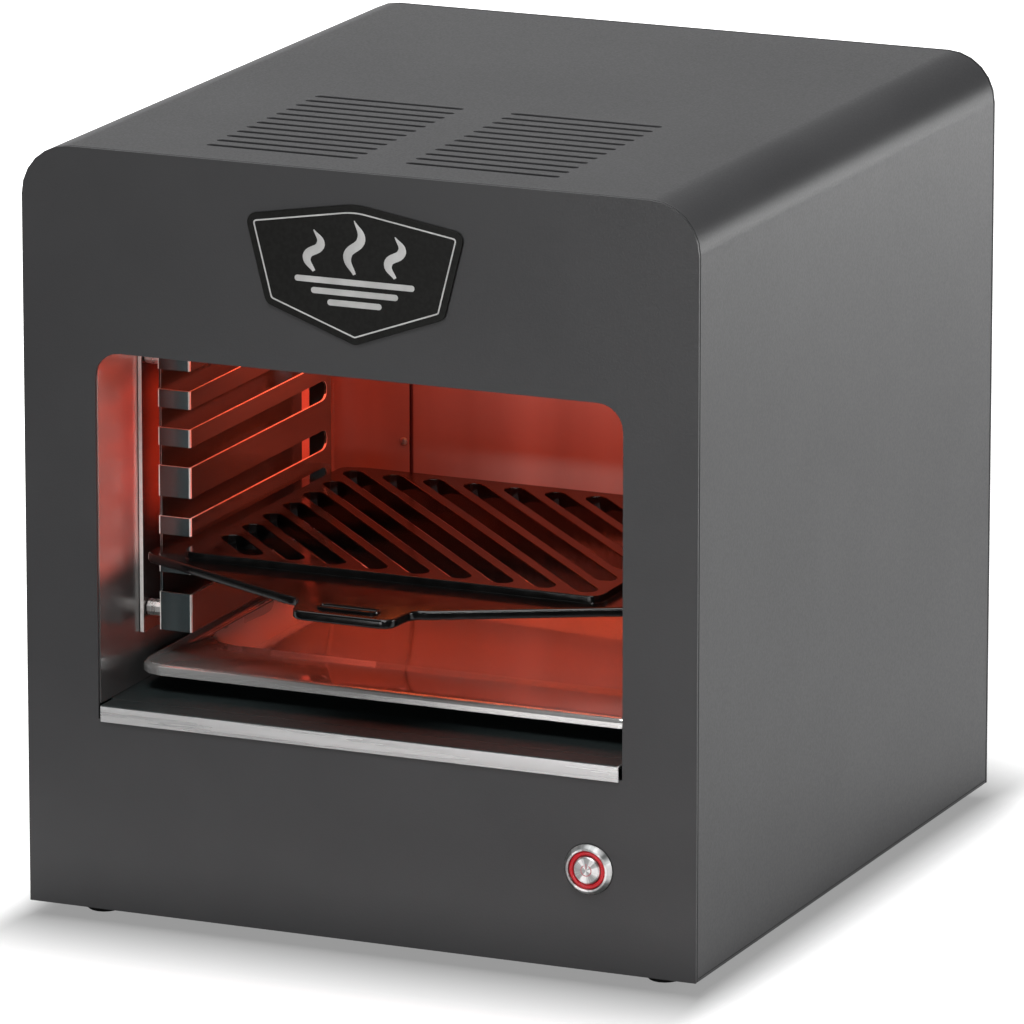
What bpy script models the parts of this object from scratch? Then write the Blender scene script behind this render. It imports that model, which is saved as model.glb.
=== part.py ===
"""Countertop electric grill with heating elements above an open cooking chamber.

Metres, +Z up. The origin is on the table under the middle of the object's box.
The open front faces -Y, the switch is towards +X, and every piece is an object of its own.
"""
import math

import bmesh
import bpy
from mathutils import Matrix, Vector

# Sheet metal and running clearances
COVER_SHEET = 0.0012
PANEL_SHEET = 0.0015
BASE_SHEET = 0.0012
CHAMBER_SHEET = 0.0010
SHIELD_SHEET = 0.0008
RACK_SHEET = 0.0010
GAP = 0.0003
REVEAL = 0.0008
OVERRUN = 0.0020

# Grill plate, which slides on a pair of slotted racks
PLATE_WIDTH = 0.2602
PLATE_SIDE_LENGTH = 0.1560
PLATE_THICKNESS = 0.0048
PLATE_EDGE_RADIUS = 0.0012
PLATE_CORNER_RADIUS = 0.0080
PLATE_SIDE_PLAY = 0.0009
PLATE_WINDOW_PLAY = 0.0008
PLATE_FRONT_SETBACK = 0.0260
PLATE_SHOULDER_HALF = 0.0360
PLATE_SHOULDER_ADVANCE = 0.0390
PLATE_TAIL_HALF = 0.1135
PLATE_TAIL_LENGTH = 0.0430
PLATE_TAIL_RADIUS = 0.0100
PLATE_APRON_DROP = 0.0035
LUG_HALF_WIDTH = 0.0260
LUG_SHOULDER_RADIUS = 0.0070
LUG_LENGTH = 0.0195
LUG_SLOT_LENGTH = 0.0300
LUG_SLOT_WIDTH = 0.0060
LUG_SLOT_SETBACK = 0.0100
GRATE_HALF_WIDTH = 0.1091
GRATE_SETBACK = 0.0225
GRATE_LENGTH = 0.1860
GRATE_RISE = 0.0038
GRATE_BORDER = 0.0055
GRATE_CORNER_RADIUS = 0.0060
GRATE_ANGLE = math.radians(47.0)
GRATE_BAR = 0.0055
GRATE_SLOT = 0.0105

# Slotted racks on each side of the chamber
RACK_LIFT = 0.0277
RACK_SETBACK = 0.0450
RACK_DEPTH = 0.1630
RACK_FLANGE = 0.0165
RACK_REAR_FLANGE = 0.0120
RACK_BOTTOM_LAND = 0.0190
RACK_LAND = 0.0089
RACK_WIDE_LAND = 0.0152
RACK_TOP_LAND = 0.0170
RACK_SLOT_HEIGHT = 0.0100
RACK_SLOT_COUNT = 6
RACK_WIDE_LAND_UNDER = 3
RACK_PLATE_SLOT = 1
RACK_SLOT_STOP = 0.0050
RACK_HEADROOM = 0.0110
CARRIER_SHEET = 0.0020
CARRIER_BORDER = 0.0025
SPACER_LENGTH = 0.0077
SPACER_RADIUS = 0.0042
SPACER_SHANK_RADIUS = 0.0020
SPACER_HEAD_RADIUS = 0.0036
SPACER_HEAD_HEIGHT = 0.0020
SPACER_CHAMFER = 0.0005
SPACER_INSET = 0.0058
SPACER_LOW_HEIGHT = 0.0093
SPACER_TOP_DROP = 0.0120

# Cooking chamber, open at the front
BAY_HEIGHT = 0.1025
CHAMBER_REAR_SPACE = 0.0600
REAR_SEAM_HALF = 0.0991
REAR_WALL_LAP = 0.0080
WALL_BEND_RADIUS = 0.0020
FLOOR_FLANGE = 0.0100
SEAM_SCREW_EDGE = 0.0032
SEAM_SCREW_SHARES = (0.402, 0.840)
SEAM_SCREW_HEAD_RADIUS = 0.0021
SEAM_SCREW_HEAD_HEIGHT = 0.0012
SEAM_SCREW_SHANK_RADIUS = 0.0012
SEAM_SCREW_LENGTH = 0.0050

# Reflector and heating elements over the chamber
REFLECTOR_HEIGHT = 0.0300
REFLECTOR_RIM = 0.0140
REFLECTOR_CORNER_RADIUS = 0.0100
HEATER_RADIUS = 0.0033
HEATER_LIFT = 0.0120
HEATER_PITCH = 0.0300
HEATER_RUNS = 4
HEATER_FRONT_SPACE = 0.0120
HEATER_REAR_SPACE = 0.0260
HEATER_TAIL = 0.0160
BRACKET_SHEET = 0.0010
BRACKET_DROP = 0.0040
BRACKET_SHARES = (0.13, 0.73)
INSULATOR_RADIUS = 0.0048
INSULATOR_COLLAR_RADIUS = 0.0066
INSULATOR_COLLAR = 0.0030
INSULATOR_LENGTH = 0.0110
CUTOUT_RADIUS = 0.0080
CUTOUT_CAN_RADIUS = 0.0064
CUTOUT_HEIGHT = 0.0060

# Housing round the chamber
SHIELD_SIDE_GAP = 0.0120
SHIELD_TOP_GAP = 0.0140
SHIELD_REAR_REACH = 0.0250
SIDE_AIR_GAP = 0.0113
TOP_AIR_GAP = 0.0418
REAR_BAY = 0.1108
CORNER_RADIUS = 0.0250
PANEL_RETURN = 0.0120
COVER_FOOT_FLANGE = 0.0120
COVER_REAR_FLANGE = 0.0120
BASE_UPSTAND = 0.0150
WINDOW_DROP = 0.0110
WINDOW_CORNER_RADIUS = 0.0130
WINDOW_SIDE_LAP = 0.0005
WINDOW_SILL_DROP = 0.0072
TRIM_SHEET = 0.0010
TRIM_FACE_HEIGHT = 0.0082
TRIM_DEPTH = 0.0120
TRIM_END_GAP = 0.0015

# Slots in the top, rear and bottom
VENT_COUNT = 12
VENT_PITCH = 0.0112
VENT_WIDTH = 0.0040
VENT_LENGTH = 0.0790
VENT_CENTRE = 0.0520
VENT_SETBACK = 0.0305
REAR_VENT_COUNT = 7
REAR_VENT_PITCH = 0.0120
REAR_VENT_WIDTH = 0.0040
REAR_VENT_LENGTH = 0.0700
REAR_VENT_CENTRE = 0.0600
REAR_VENT_DROP = 0.0700
BASE_VENT_COUNT = 5
BASE_VENT_PITCH = 0.0160
BASE_VENT_WIDTH = 0.0050
BASE_VENT_LENGTH = 0.0600
BASE_VENT_CENTRE = 0.0600
BASE_VENT_SETBACK = 0.1500

# Rubber feet
FOOT_HEIGHT = 0.0080
FOOT_RADIUS = 0.0097
FOOT_SOLE_RADIUS = 0.0076
FOOT_EDGE_HEIGHT = 0.0022
FOOT_NECK_RADIUS = 0.0040
FOOT_HEAD_RADIUS = 0.0055
FOOT_HEAD_HEIGHT = 0.0030
FOOT_SIDE_INSET = 0.0270
FOOT_FRONT_INSET = 0.0270
FOOT_REAR_INSET = 0.0400

# Drip tray
TRAY_WIDTH = 0.2680
TRAY_WINDOW_PLAY = 0.0010
TRAY_SETBACK = 0.0290
TRAY_LENGTH = 0.2330
TRAY_SHEET = 0.0008
TRAY_HEIGHT = 0.0142
TRAY_LIP = 0.0052
TRAY_BEAD = 0.0026
TRAY_APRON = 0.0500
TRAY_SIDE_RIM = 0.0110
TRAY_REAR_RIM = 0.0110
TRAY_WALL_RUN = 0.0090
TRAY_FRONT_RUN = 0.0150
TRAY_CORNER_RADIUS = 0.0140
TRAY_WELL_RADIUS = 0.0200
TRAY_FLOOR_RADIUS = 0.0140

# Illuminated push button in the front panel
BUTTON_X = 0.1200
BUTTON_HEIGHT = 0.0500
BUTTON_FLANGE_RADIUS = 0.0118
BUTTON_FLANGE_PROUD = 0.0028
BUTTON_FLANGE_EDGE = 0.0012
BUTTON_BARREL_RADIUS = 0.0106
BUTTON_BARREL_LENGTH = 0.0240
BUTTON_BORE_RADIUS = 0.0095
BUTTON_END_WALL = 0.0025
BUTTON_RING_RADIUS = 0.0092
BUTTON_RING_BORE_RADIUS = 0.0072
BUTTON_RING_RECESS = 0.0004
BUTTON_RING_LENGTH = 0.0050
BUTTON_CAP_RADIUS = 0.0068
BUTTON_CAP_PROUD = 0.0034
BUTTON_CONTACT_SPACE = 0.0114
BUTTON_CAP_EDGE = 0.0007
BUTTON_TRAVEL = 0.0025
BUTTON_NUT_RADIUS = 0.0145
BUTTON_NUT_THICKNESS = 0.0028

# Badge plate, whose corners are places above and beside its lowest point
BADGE_TOP_HALF = 0.0570
BADGE_LOW_HALF = 0.0462
BADGE_CREST_HEIGHT = 0.0683
BADGE_TOP_HEIGHT = 0.0590
BADGE_LOW_HEIGHT = 0.0166
BADGE_TOP_DROP = 0.0160
BADGE_THICKNESS = 0.0010
BADGE_CORNER_RADIUS = 0.0050
BADGE_CREST_RADIUS = 0.0400

# Cord gland, terminal block, wires and the rear panel's screws
GLAND_X = -0.1150
GLAND_HEIGHT = 0.0420
GLAND_PROUD = 0.0120
GLAND_RADIUS = 0.0100
GLAND_NOSE_RADIUS = 0.0065
GLAND_BARREL_RADIUS = 0.0070
GLAND_BORE_RADIUS = 0.0038
GLAND_COLLAR = 0.0030
GLAND_INNER_LENGTH = 0.0080
TERMINAL_SIZE = (0.0440, 0.0200, 0.0180)
TERMINAL_X = -0.0600
TERMINAL_REAR_SPACE = 0.0500
TERMINAL_STEP = 0.0060
WIRE_RADIUS = 0.0016
WIRE_LIFT = 0.0060
WIRE_STUB = 0.0060
WIRE_BEND = 0.0250
WIRE_STEPS = 3
SCREW_CROWN_SHARE = 0.65
SCREW_DOME_SHARE = 0.15
SCREW_RIM_SHARE = 0.35
REAR_SCREW_INSET = 0.0075
REAR_SCREW_HEIGHTS = (0.0400, 0.3000)
REAR_SCREW_HEAD_RADIUS = 0.0034
REAR_SCREW_HEAD_HEIGHT = 0.0020
REAR_SCREW_SHANK_RADIUS = 0.0016
REAR_SCREW_LENGTH = 0.0065

# Facets
SHARP_ANGLE = math.radians(35)
ARC_STEPS = 6
SMALL_ARC_STEPS = 3
TURN_STEPS = 16
SMALL_TURN_STEPS = 10
BUTTON_STEPS = 32

# Heights, from the table upwards
BASE_Z = FOOT_HEIGHT
BASE_PLATE_Z = BASE_Z + COVER_SHEET + GAP
BASE_TOP_Z = BASE_PLATE_Z + BASE_SHEET
FLOOR_Z = BASE_Z + BAY_HEIGHT
RACK_Z = FLOOR_Z + RACK_LIFT
RACK_PITCH = RACK_SLOT_HEIGHT + RACK_LAND
RACK_HEIGHT = (
    RACK_BOTTOM_LAND
    + RACK_SLOT_COUNT * RACK_SLOT_HEIGHT
    + (RACK_SLOT_COUNT - 2) * RACK_LAND
    + RACK_WIDE_LAND
    + RACK_TOP_LAND
)
RACK_TOP_Z = RACK_Z + RACK_HEIGHT
CHAMBER_TOP_Z = RACK_TOP_Z + RACK_HEADROOM
REFLECTOR_Z = CHAMBER_TOP_Z + GAP
REFLECTOR_TOP_Z = REFLECTOR_Z + REFLECTOR_HEIGHT
HEATER_Z = REFLECTOR_Z + HEATER_LIFT
SHIELD_TOP_Z = REFLECTOR_TOP_Z + SHIELD_TOP_GAP
BODY_TOP_Z = SHIELD_TOP_Z + SHIELD_SHEET + TOP_AIR_GAP + COVER_SHEET
WINDOW_TOP_Z = CHAMBER_TOP_Z - WINDOW_DROP
WINDOW_BOTTOM_Z = FLOOR_Z - WINDOW_SILL_DROP
BADGE_Z = WINDOW_TOP_Z + BADGE_TOP_DROP

# Half widths, from the grill plate outwards, on both sides of the chamber's own middle. That middle is
# set off towards the switch's side, as far as the plate still clears the window when it slides out.
PLATE_HALF = PLATE_WIDTH / 2
LIP_INNER_X = PLATE_HALF + PLATE_SIDE_PLAY
LIP_OUTER_X = LIP_INNER_X + RACK_SHEET
WEB_OUTER_X = LIP_OUTER_X - RACK_FLANGE
WEB_INNER_X = WEB_OUTER_X - RACK_SHEET
CARRIER_INNER_X = LIP_OUTER_X + GAP + SPACER_LENGTH + GAP
CARRIER_OUTER_X = CARRIER_INNER_X + CARRIER_SHEET
WALL_INNER_X = CARRIER_OUTER_X + GAP
WALL_OUTER_X = WALL_INNER_X + CHAMBER_SHEET
SHIELD_INNER_X = WALL_OUTER_X + SHIELD_SIDE_GAP
SHIELD_OUTER_X = SHIELD_INNER_X + SHIELD_SHEET
CHAMBER_X = (WALL_INNER_X + WINDOW_SIDE_LAP - PLATE_HALF - PLATE_WINDOW_PLAY) / 2
BODY_HALF = CHAMBER_X + SHIELD_OUTER_X + SIDE_AIR_GAP + COVER_SHEET
COVER_INNER_X = BODY_HALF - COVER_SHEET
WINDOW_HALF = WALL_INNER_X - CHAMBER_X + WINDOW_SIDE_LAP

# Depths, from the front face backwards
CHAMBER_DEPTH = RACK_SETBACK + RACK_DEPTH + CHAMBER_REAR_SPACE
REAR_WALL_DEPTH = CHAMBER_DEPTH + CHAMBER_SHEET + GAP
REFLECTOR_FRONT = PANEL_SHEET + GAP
REFLECTOR_REAR = REAR_WALL_DEPTH + CHAMBER_SHEET
BODY_DEPTH = REAR_WALL_DEPTH + CHAMBER_SHEET + REAR_BAY + REVEAL + COVER_SHEET
REAR_PANEL_DEPTH = BODY_DEPTH - COVER_SHEET
LUG_REACH = PLATE_SHOULDER_ADVANCE + LUG_LENGTH - PLATE_FRONT_SETBACK
FRONT_Y = (LUG_REACH - BODY_DEPTH - GLAND_PROUD) / 2


def back(distance):
    """Y of a place that lies this far behind the front face."""
    return FRONT_Y + distance


def remove_everything():
    """Clears the scene without closing the file that the script runs from."""
    for leftover in list(bpy.data.objects):
        bpy.data.objects.remove(leftover, do_unlink=True)


def finish(name, colour, roughness, metallic):
    """A Principled material for one piece."""
    material = bpy.data.materials.new(name)
    material.use_nodes = True
    shader = material.node_tree.nodes["Principled BSDF"]
    shader.inputs["Base Color"].default_value = (*colour, 1)
    shader.inputs["Roughness"].default_value = roughness
    shader.inputs["Metallic"].default_value = metallic
    return material


def painted(name):
    return finish(name, (0.065, 0.065, 0.070), 0.45, 0.3)


def stainless(name):
    return finish(name, (0.62, 0.61, 0.60), 0.25, 1.0)


def galvanised(name):
    return finish(name, (0.50, 0.51, 0.52), 0.45, 1.0)


def black_enamel(name):
    return finish(name, (0.012, 0.012, 0.012), 0.18, 0.0)


def black_rubber(name):
    return finish(name, (0.015, 0.015, 0.015), 0.75, 0.0)


def ceramic(name):
    return finish(name, (0.78, 0.75, 0.68), 0.5, 0.0)


def add_object(name, builder, material):
    """Turns a bmesh into an object whose faces point outwards."""
    bmesh.ops.remove_doubles(builder, verts=builder.verts, dist=GAP / 100)
    bmesh.ops.recalc_face_normals(builder, faces=builder.faces)
    mesh = bpy.data.meshes.new(name)
    builder.to_mesh(mesh)
    builder.free()
    mesh.shade_smooth()
    mesh.set_sharp_from_angle(angle=SHARP_ANGLE)
    mesh.materials.append(material)
    thing = bpy.data.objects.new(name, mesh)
    bpy.context.scene.collection.objects.link(thing)
    return thing


def in_space(axis, point, along):
    """A point of an outline, at a place along the axis that the outline is drawn across."""
    first, second = point
    if axis == "X":
        return Vector((along, first, second))
    if axis == "Y":
        return Vector((first, along, second))
    return Vector((first, second, along))


def rounded(corners, steps=ARC_STEPS):
    """An outline from (place, place, radius) corners, with an arc at each one that has a radius."""
    outline = []
    for index, (u, v, radius) in enumerate(corners):
        here = Vector((u, v))
        before = Vector(corners[index - 1][:2]) - here
        after = Vector(corners[(index + 1) % len(corners)][:2]) - here
        if radius == 0:
            outline.append((u, v))
            continue
        before.normalize()
        after.normalize()
        half = before.angle(after) / 2
        reach = radius / math.tan(half)
        start = here + before * reach
        centre = here + (before + after).normalized() * (radius / math.sin(half))
        sweep = math.pi - 2 * half
        turn = 1 if before.x * after.y - before.y * after.x < 0 else -1
        for step in range(steps + 1):
            arm = start - centre
            arm.rotate(Matrix.Rotation(turn * sweep * step / steps, 2))
            outline.append(tuple(centre + arm))
    return outline


def rectangle(u_low, u_high, v_low, v_high, radius=0, steps=SMALL_ARC_STEPS):
    places = [(u_low, v_low), (u_high, v_low), (u_high, v_high), (u_low, v_high)]
    return rounded([(u, v, radius) for u, v in places], steps)


def stadium(centre, length, width, direction=0.0, steps=SMALL_ARC_STEPS):
    """The outline of a slot with round ends, turned by an angle in its own plane."""
    radius = width / 2
    reach = length / 2 - radius
    points = []
    for end, start_angle in ((1, -math.pi / 2), (-1, math.pi / 2)):
        for step in range(2 * steps + 1):
            angle = start_angle + math.pi * step / (2 * steps)
            point = Vector((end * reach + radius * math.cos(angle), radius * math.sin(angle)))
            point.rotate(Matrix.Rotation(direction, 2))
            points.append((centre[0] + point.x, centre[1] + point.y))
    return points


def circle(centre, radius, steps):
    turns = [2 * math.pi * step / steps for step in range(steps)]
    return [(centre[0] + radius * math.cos(turn), centre[1] + radius * math.sin(turn)) for turn in turns]


def add_prism(builder, outline, axis, low, high):
    """One outline drawn across an axis and extruded from low to high along it."""
    face = builder.faces.new([builder.verts.new(in_space(axis, point, low)) for point in outline])
    grown = bmesh.ops.extrude_face_region(builder, geom=[face])
    moved = [item for item in grown["geom"] if isinstance(item, bmesh.types.BMVert)]
    bmesh.ops.translate(builder, verts=moved, vec=in_space(axis, (0, 0), high - low))


def prism(name, outline, axis, low, high, material):
    """A piece of one outline, whose origin lies in the plane of its low end."""
    builder = bmesh.new()
    add_prism(builder, outline, axis, 0, high - low)
    thing = add_object(name, builder, material)
    thing.location = in_space(axis, (0, 0), low)
    return thing


def cutter(name, outlines, axis, low, high, parent=None):
    """Shapes that a Boolean takes away or adds, in the frame of their parent."""
    builder = bmesh.new()
    for outline in outlines:
        add_prism(builder, outline, axis, low, high)
    tool = add_object(name, builder, finish(name, (1, 0, 1), 0.5, 0))
    tool.parent = parent
    return tool


def boolean(target, tool, operation="DIFFERENCE"):
    """Joins or cuts with a tool that isn't drawn itself."""
    change = target.modifiers.new(tool.name, "BOOLEAN")
    change.operation = operation
    change.solver = "EXACT"
    change.object = tool
    tool.hide_render = True
    tool.display_type = "WIRE"


def turned(name, profile, material, centre, axis="Z", steps=TURN_STEPS, bored=False):
    """Spins a (radius, height) profile round an axis. A bored profile is a closed loop."""
    builder = bmesh.new()
    verts = [builder.verts.new((radius, 0, height)) for radius, height in profile]
    edges = [builder.edges.new(pair) for pair in zip(verts, verts[1:])]
    if bored:
        edges.append(builder.edges.new((verts[-1], verts[0])))
    bmesh.ops.spin(
        builder,
        geom=verts + edges,
        cent=(0, 0, 0),
        axis=(0, 0, 1),
        angle=2 * math.pi,
        steps=steps,
        use_merge=True,
    )
    turn = {
        "Z": Matrix.Identity(3),
        "Y": Matrix.Rotation(-math.pi / 2, 3, "X"),
        "-Y": Matrix.Rotation(math.pi / 2, 3, "X"),
        "X": Matrix.Rotation(math.pi / 2, 3, "Y"),
        "-X": Matrix.Rotation(-math.pi / 2, 3, "Y"),
    }[axis]
    bmesh.ops.rotate(builder, cent=(0, 0, 0), matrix=turn, verts=builder.verts)
    thing = add_object(name, builder, material)
    thing.location = centre
    return thing


def screw_profile(head_radius, head_height, shank_radius, length):
    """Half the outline of a pan-head screw whose head rests just over height zero."""
    return [
        (0, GAP + head_height),
        (head_radius * SCREW_CROWN_SHARE, GAP + head_height * (1 - SCREW_DOME_SHARE)),
        (head_radius, GAP + head_height * SCREW_RIM_SHARE),
        (head_radius, GAP),
        (shank_radius, GAP),
        (shank_radius, -length),
        (0, -length),
    ]


def lofted(name, sections, material):
    """Bridges outlines of equal length that lie at their own heights, and closes the first and last."""
    builder = bmesh.new()
    rings = [[builder.verts.new((u, v, height)) for u, v in outline] for outline, height in sections]
    for lower, upper in zip(rings, rings[1:]):
        for index in range(len(lower)):
            following = (index + 1) % len(lower)
            builder.faces.new((lower[index], lower[following], upper[following], upper[index]))
    builder.faces.new(rings[0])
    builder.faces.new(rings[-1])
    return add_object(name, builder, material)


def tube(name, points, radius, material):
    """A round bar or wire along a smooth route."""
    curve = bpy.data.curves.new(name, "CURVE")
    curve.dimensions = "3D"
    curve.bevel_depth = radius
    curve.bevel_resolution = 2
    curve.use_fill_caps = True
    spline = curve.splines.new("POLY")
    spline.points.add(len(points) - 1)
    for item, point in zip(spline.points, points):
        item.co = (*point, 1)
    curve.materials.append(material)
    thing = bpy.data.objects.new(name, curve)
    bpy.context.scene.collection.objects.link(thing)
    return thing


def bent_route(places, reach, steps=WIRE_STEPS):
    """A line through the places whose corners are eased within a reach on each side."""
    route = [places[0]]
    for before, here, after in zip(places, places[1:], places[2:]):
        start = here + (before - here) * min(0.5, reach / (before - here).length)
        stop = here + (after - here) * min(0.5, reach / (after - here).length)
        for step in range(steps + 1):
            share = step / steps
            route.append(start.lerp(here, share).lerp(here.lerp(stop, share), share))
    return [*route, places[-1]]


def body_outline(inset):
    """The housing seen from the front: round upper corners and square lower ones."""
    half = BODY_HALF - inset
    top = BODY_TOP_Z - inset
    bottom = BASE_Z + inset
    radius = CORNER_RADIUS - inset
    return rounded([(-half, bottom, 0), (half, bottom, 0), (half, top, radius), (-half, top, radius)])


def make_outer_cover():
    """One sheet bent over both sides and the top, with its lower and rear edges turned in."""
    half = BODY_HALF
    flange = half - COVER_FOOT_FLANGE
    outer = [(-flange, BASE_Z, 0), (-half, BASE_Z, 0), (-half, BODY_TOP_Z, CORNER_RADIUS)]
    outer += [(half, BODY_TOP_Z, CORNER_RADIUS), (half, BASE_Z, 0), (flange, BASE_Z, 0)]
    inner_z = BASE_Z + COVER_SHEET
    inner_top = BODY_TOP_Z - COVER_SHEET
    inner_radius = CORNER_RADIUS - COVER_SHEET
    inner = [(flange, inner_z, 0), (COVER_INNER_X, inner_z, 0), (COVER_INNER_X, inner_top, inner_radius)]
    inner += [(-COVER_INNER_X, inner_top, inner_radius), (-COVER_INNER_X, inner_z, 0), (-flange, inner_z, 0)]
    front = back(PANEL_SHEET + REVEAL)
    rear = back(REAR_PANEL_DEPTH - REVEAL)
    cover = prism("outer_cover", rounded(outer + inner), "Y", front, rear, painted("cover paint"))
    flanges = []
    for side in (-1, 1):
        edges = sorted((side * (COVER_INNER_X - COVER_REAR_FLANGE), side * (COVER_INNER_X + COVER_SHEET / 2)))
        flanges.append(rectangle(*edges, inner_z + OVERRUN, BODY_TOP_Z - CORNER_RADIUS))
    strips = cutter("rear flange strips", flanges, "Y", rear - COVER_SHEET, rear)
    boolean(cover, strips, "UNION")
    slots = []
    for side in (-1, 1):
        for row in range(VENT_COUNT):
            place = (side * VENT_CENTRE, back(VENT_SETBACK + row * VENT_PITCH))
            slots.append(stadium(place, VENT_LENGTH, VENT_WIDTH, steps=2))
    boolean(cover, cutter("top vents", slots, "Z", inner_top - OVERRUN, BODY_TOP_Z + OVERRUN))
    boolean(cover, screw_holes("cover screw holes"))


def make_front_panel():
    """Panel whose edge is folded into the cover, with the chamber's window and the button's hole."""
    panel = prism(
        "front_panel", body_outline(0), "Y", back(0), back(PANEL_SHEET), painted("front paint")
    )
    outer = body_outline(COVER_SHEET + 2 * GAP)
    inner = body_outline(COVER_SHEET + 2 * GAP + PANEL_SHEET)
    builder = bmesh.new()
    rings = []
    for outline in (outer, inner):
        for depth in (PANEL_SHEET / 2, PANEL_SHEET + PANEL_RETURN):
            rings.append([builder.verts.new(in_space("Y", point, back(depth))) for point in outline])
    for first, second in ((0, 1), (1, 3), (3, 2), (2, 0)):
        for index in range(len(outer)):
            following = (index + 1) % len(outer)
            a, b = rings[first], rings[second]
            builder.faces.new((a[index], a[following], b[following], b[index]))
    boolean(panel, add_object("folded edge", builder, painted("fold paint")), "UNION")
    window = rounded(
        [
            (-WINDOW_HALF, WINDOW_BOTTOM_Z, 0),
            (WINDOW_HALF, WINDOW_BOTTOM_Z, 0),
            (WINDOW_HALF, WINDOW_TOP_Z, WINDOW_CORNER_RADIUS),
            (-WINDOW_HALF, WINDOW_TOP_Z, WINDOW_CORNER_RADIUS),
        ]
    )
    hole = circle((BUTTON_X, BASE_Z + BUTTON_HEIGHT), BUTTON_BARREL_RADIUS + GAP, BUTTON_STEPS)
    boolean(panel, cutter("front openings", [window, hole], "Y", back(-OVERRUN), back(PANEL_SHEET + OVERRUN)))


def rear_screw_places():
    for side in (-1, 1):
        for height in REAR_SCREW_HEIGHTS:
            yield side * (COVER_INNER_X - REAR_SCREW_INSET), BASE_Z + height


def screw_holes(name):
    holes = [circle(place, REAR_SCREW_SHANK_RADIUS + GAP, SMALL_TURN_STEPS) for place in rear_screw_places()]
    deep = REAR_SCREW_LENGTH + OVERRUN
    return cutter(name, holes, "Y", back(BODY_DEPTH - deep), back(BODY_DEPTH + OVERRUN))


def make_rear_panel():
    """Rear panel with cooling slots, the gland's hole and its screws."""
    panel = prism(
        "rear_panel", body_outline(0), "Y", back(REAR_PANEL_DEPTH), back(BODY_DEPTH), painted("rear paint")
    )
    slots = []
    for side in (-1, 1):
        for row in range(REAR_VENT_COUNT):
            place = (side * REAR_VENT_CENTRE, BODY_TOP_Z - REAR_VENT_DROP - row * REAR_VENT_PITCH)
            slots.append(stadium(place, REAR_VENT_LENGTH, REAR_VENT_WIDTH, steps=2))
    slots.append(circle((GLAND_X, BASE_Z + GLAND_HEIGHT), GLAND_BARREL_RADIUS + GAP, TURN_STEPS))
    faces = (back(REAR_PANEL_DEPTH - OVERRUN), back(BODY_DEPTH + OVERRUN))
    boolean(panel, cutter("rear vents", slots, "Y", *faces))
    boolean(panel, screw_holes("rear panel screw holes"))
    head = (REAR_SCREW_HEAD_RADIUS, REAR_SCREW_HEAD_HEIGHT)
    profile = screw_profile(*head, REAR_SCREW_SHANK_RADIUS, REAR_SCREW_LENGTH)
    for number, (x, z) in enumerate(rear_screw_places(), 1):
        place = (x, back(BODY_DEPTH), z)
        turned(f"rear_screw_{number}", profile, galvanised("screw zinc"), place, "Y", SMALL_TURN_STEPS)


def foot_places():
    x = BODY_HALF - FOOT_SIDE_INSET
    yield "foot_front_left", -x, back(FOOT_FRONT_INSET)
    yield "foot_front_right", x, back(FOOT_FRONT_INSET)
    yield "foot_rear_left", -x, back(BODY_DEPTH - FOOT_REAR_INSET)
    yield "foot_rear_right", x, back(BODY_DEPTH - FOOT_REAR_INSET)


def make_base_plate():
    """Bottom sheet with upstands inside the cover, air slots and holes for the feet."""
    half = COVER_INNER_X - GAP
    inner = half - BASE_SHEET
    outline = [(-half, BASE_PLATE_Z), (half, BASE_PLATE_Z), (half, BASE_PLATE_Z + BASE_UPSTAND)]
    outline += [(inner, BASE_PLATE_Z + BASE_UPSTAND), (inner, BASE_TOP_Z), (-inner, BASE_TOP_Z)]
    outline += [(-inner, BASE_PLATE_Z + BASE_UPSTAND), (-half, BASE_PLATE_Z + BASE_UPSTAND)]
    front = back(PANEL_SHEET + PANEL_RETURN + GAP)
    rear = back(REAR_PANEL_DEPTH - REVEAL - COVER_SHEET - GAP)
    plate = prism("base_plate", outline, "Y", front, rear, galvanised("base zinc"))
    holes = [circle((x, y), FOOT_NECK_RADIUS + GAP, TURN_STEPS) for _, x, y in foot_places()]
    for side in (-1, 1):
        for row in range(BASE_VENT_COUNT):
            place = (side * BASE_VENT_CENTRE, back(BASE_VENT_SETBACK + row * BASE_VENT_PITCH))
            holes.append(stadium(place, BASE_VENT_LENGTH, BASE_VENT_WIDTH, steps=2))
    boolean(plate, cutter("base holes", holes, "Z", BASE_PLATE_Z - OVERRUN, BASE_TOP_Z + OVERRUN))


def make_feet():
    """Rubber feet, each pushed through the base plate up to its groove."""
    seat = BASE_PLATE_Z - GAP
    hold = BASE_TOP_Z + GAP
    profile = [
        (0, 0),
        (FOOT_SOLE_RADIUS, 0),
        (FOOT_RADIUS, FOOT_EDGE_HEIGHT),
        (FOOT_RADIUS, seat),
        (FOOT_NECK_RADIUS, seat),
        (FOOT_NECK_RADIUS, hold),
        (FOOT_HEAD_RADIUS, hold),
        (FOOT_NECK_RADIUS, hold + FOOT_HEAD_HEIGHT),
        (0, hold + FOOT_HEAD_HEIGHT),
    ]
    for name, x, y in foot_places():
        turned(name, profile, black_rubber("foot rubber"), (x, y, 0))


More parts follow.
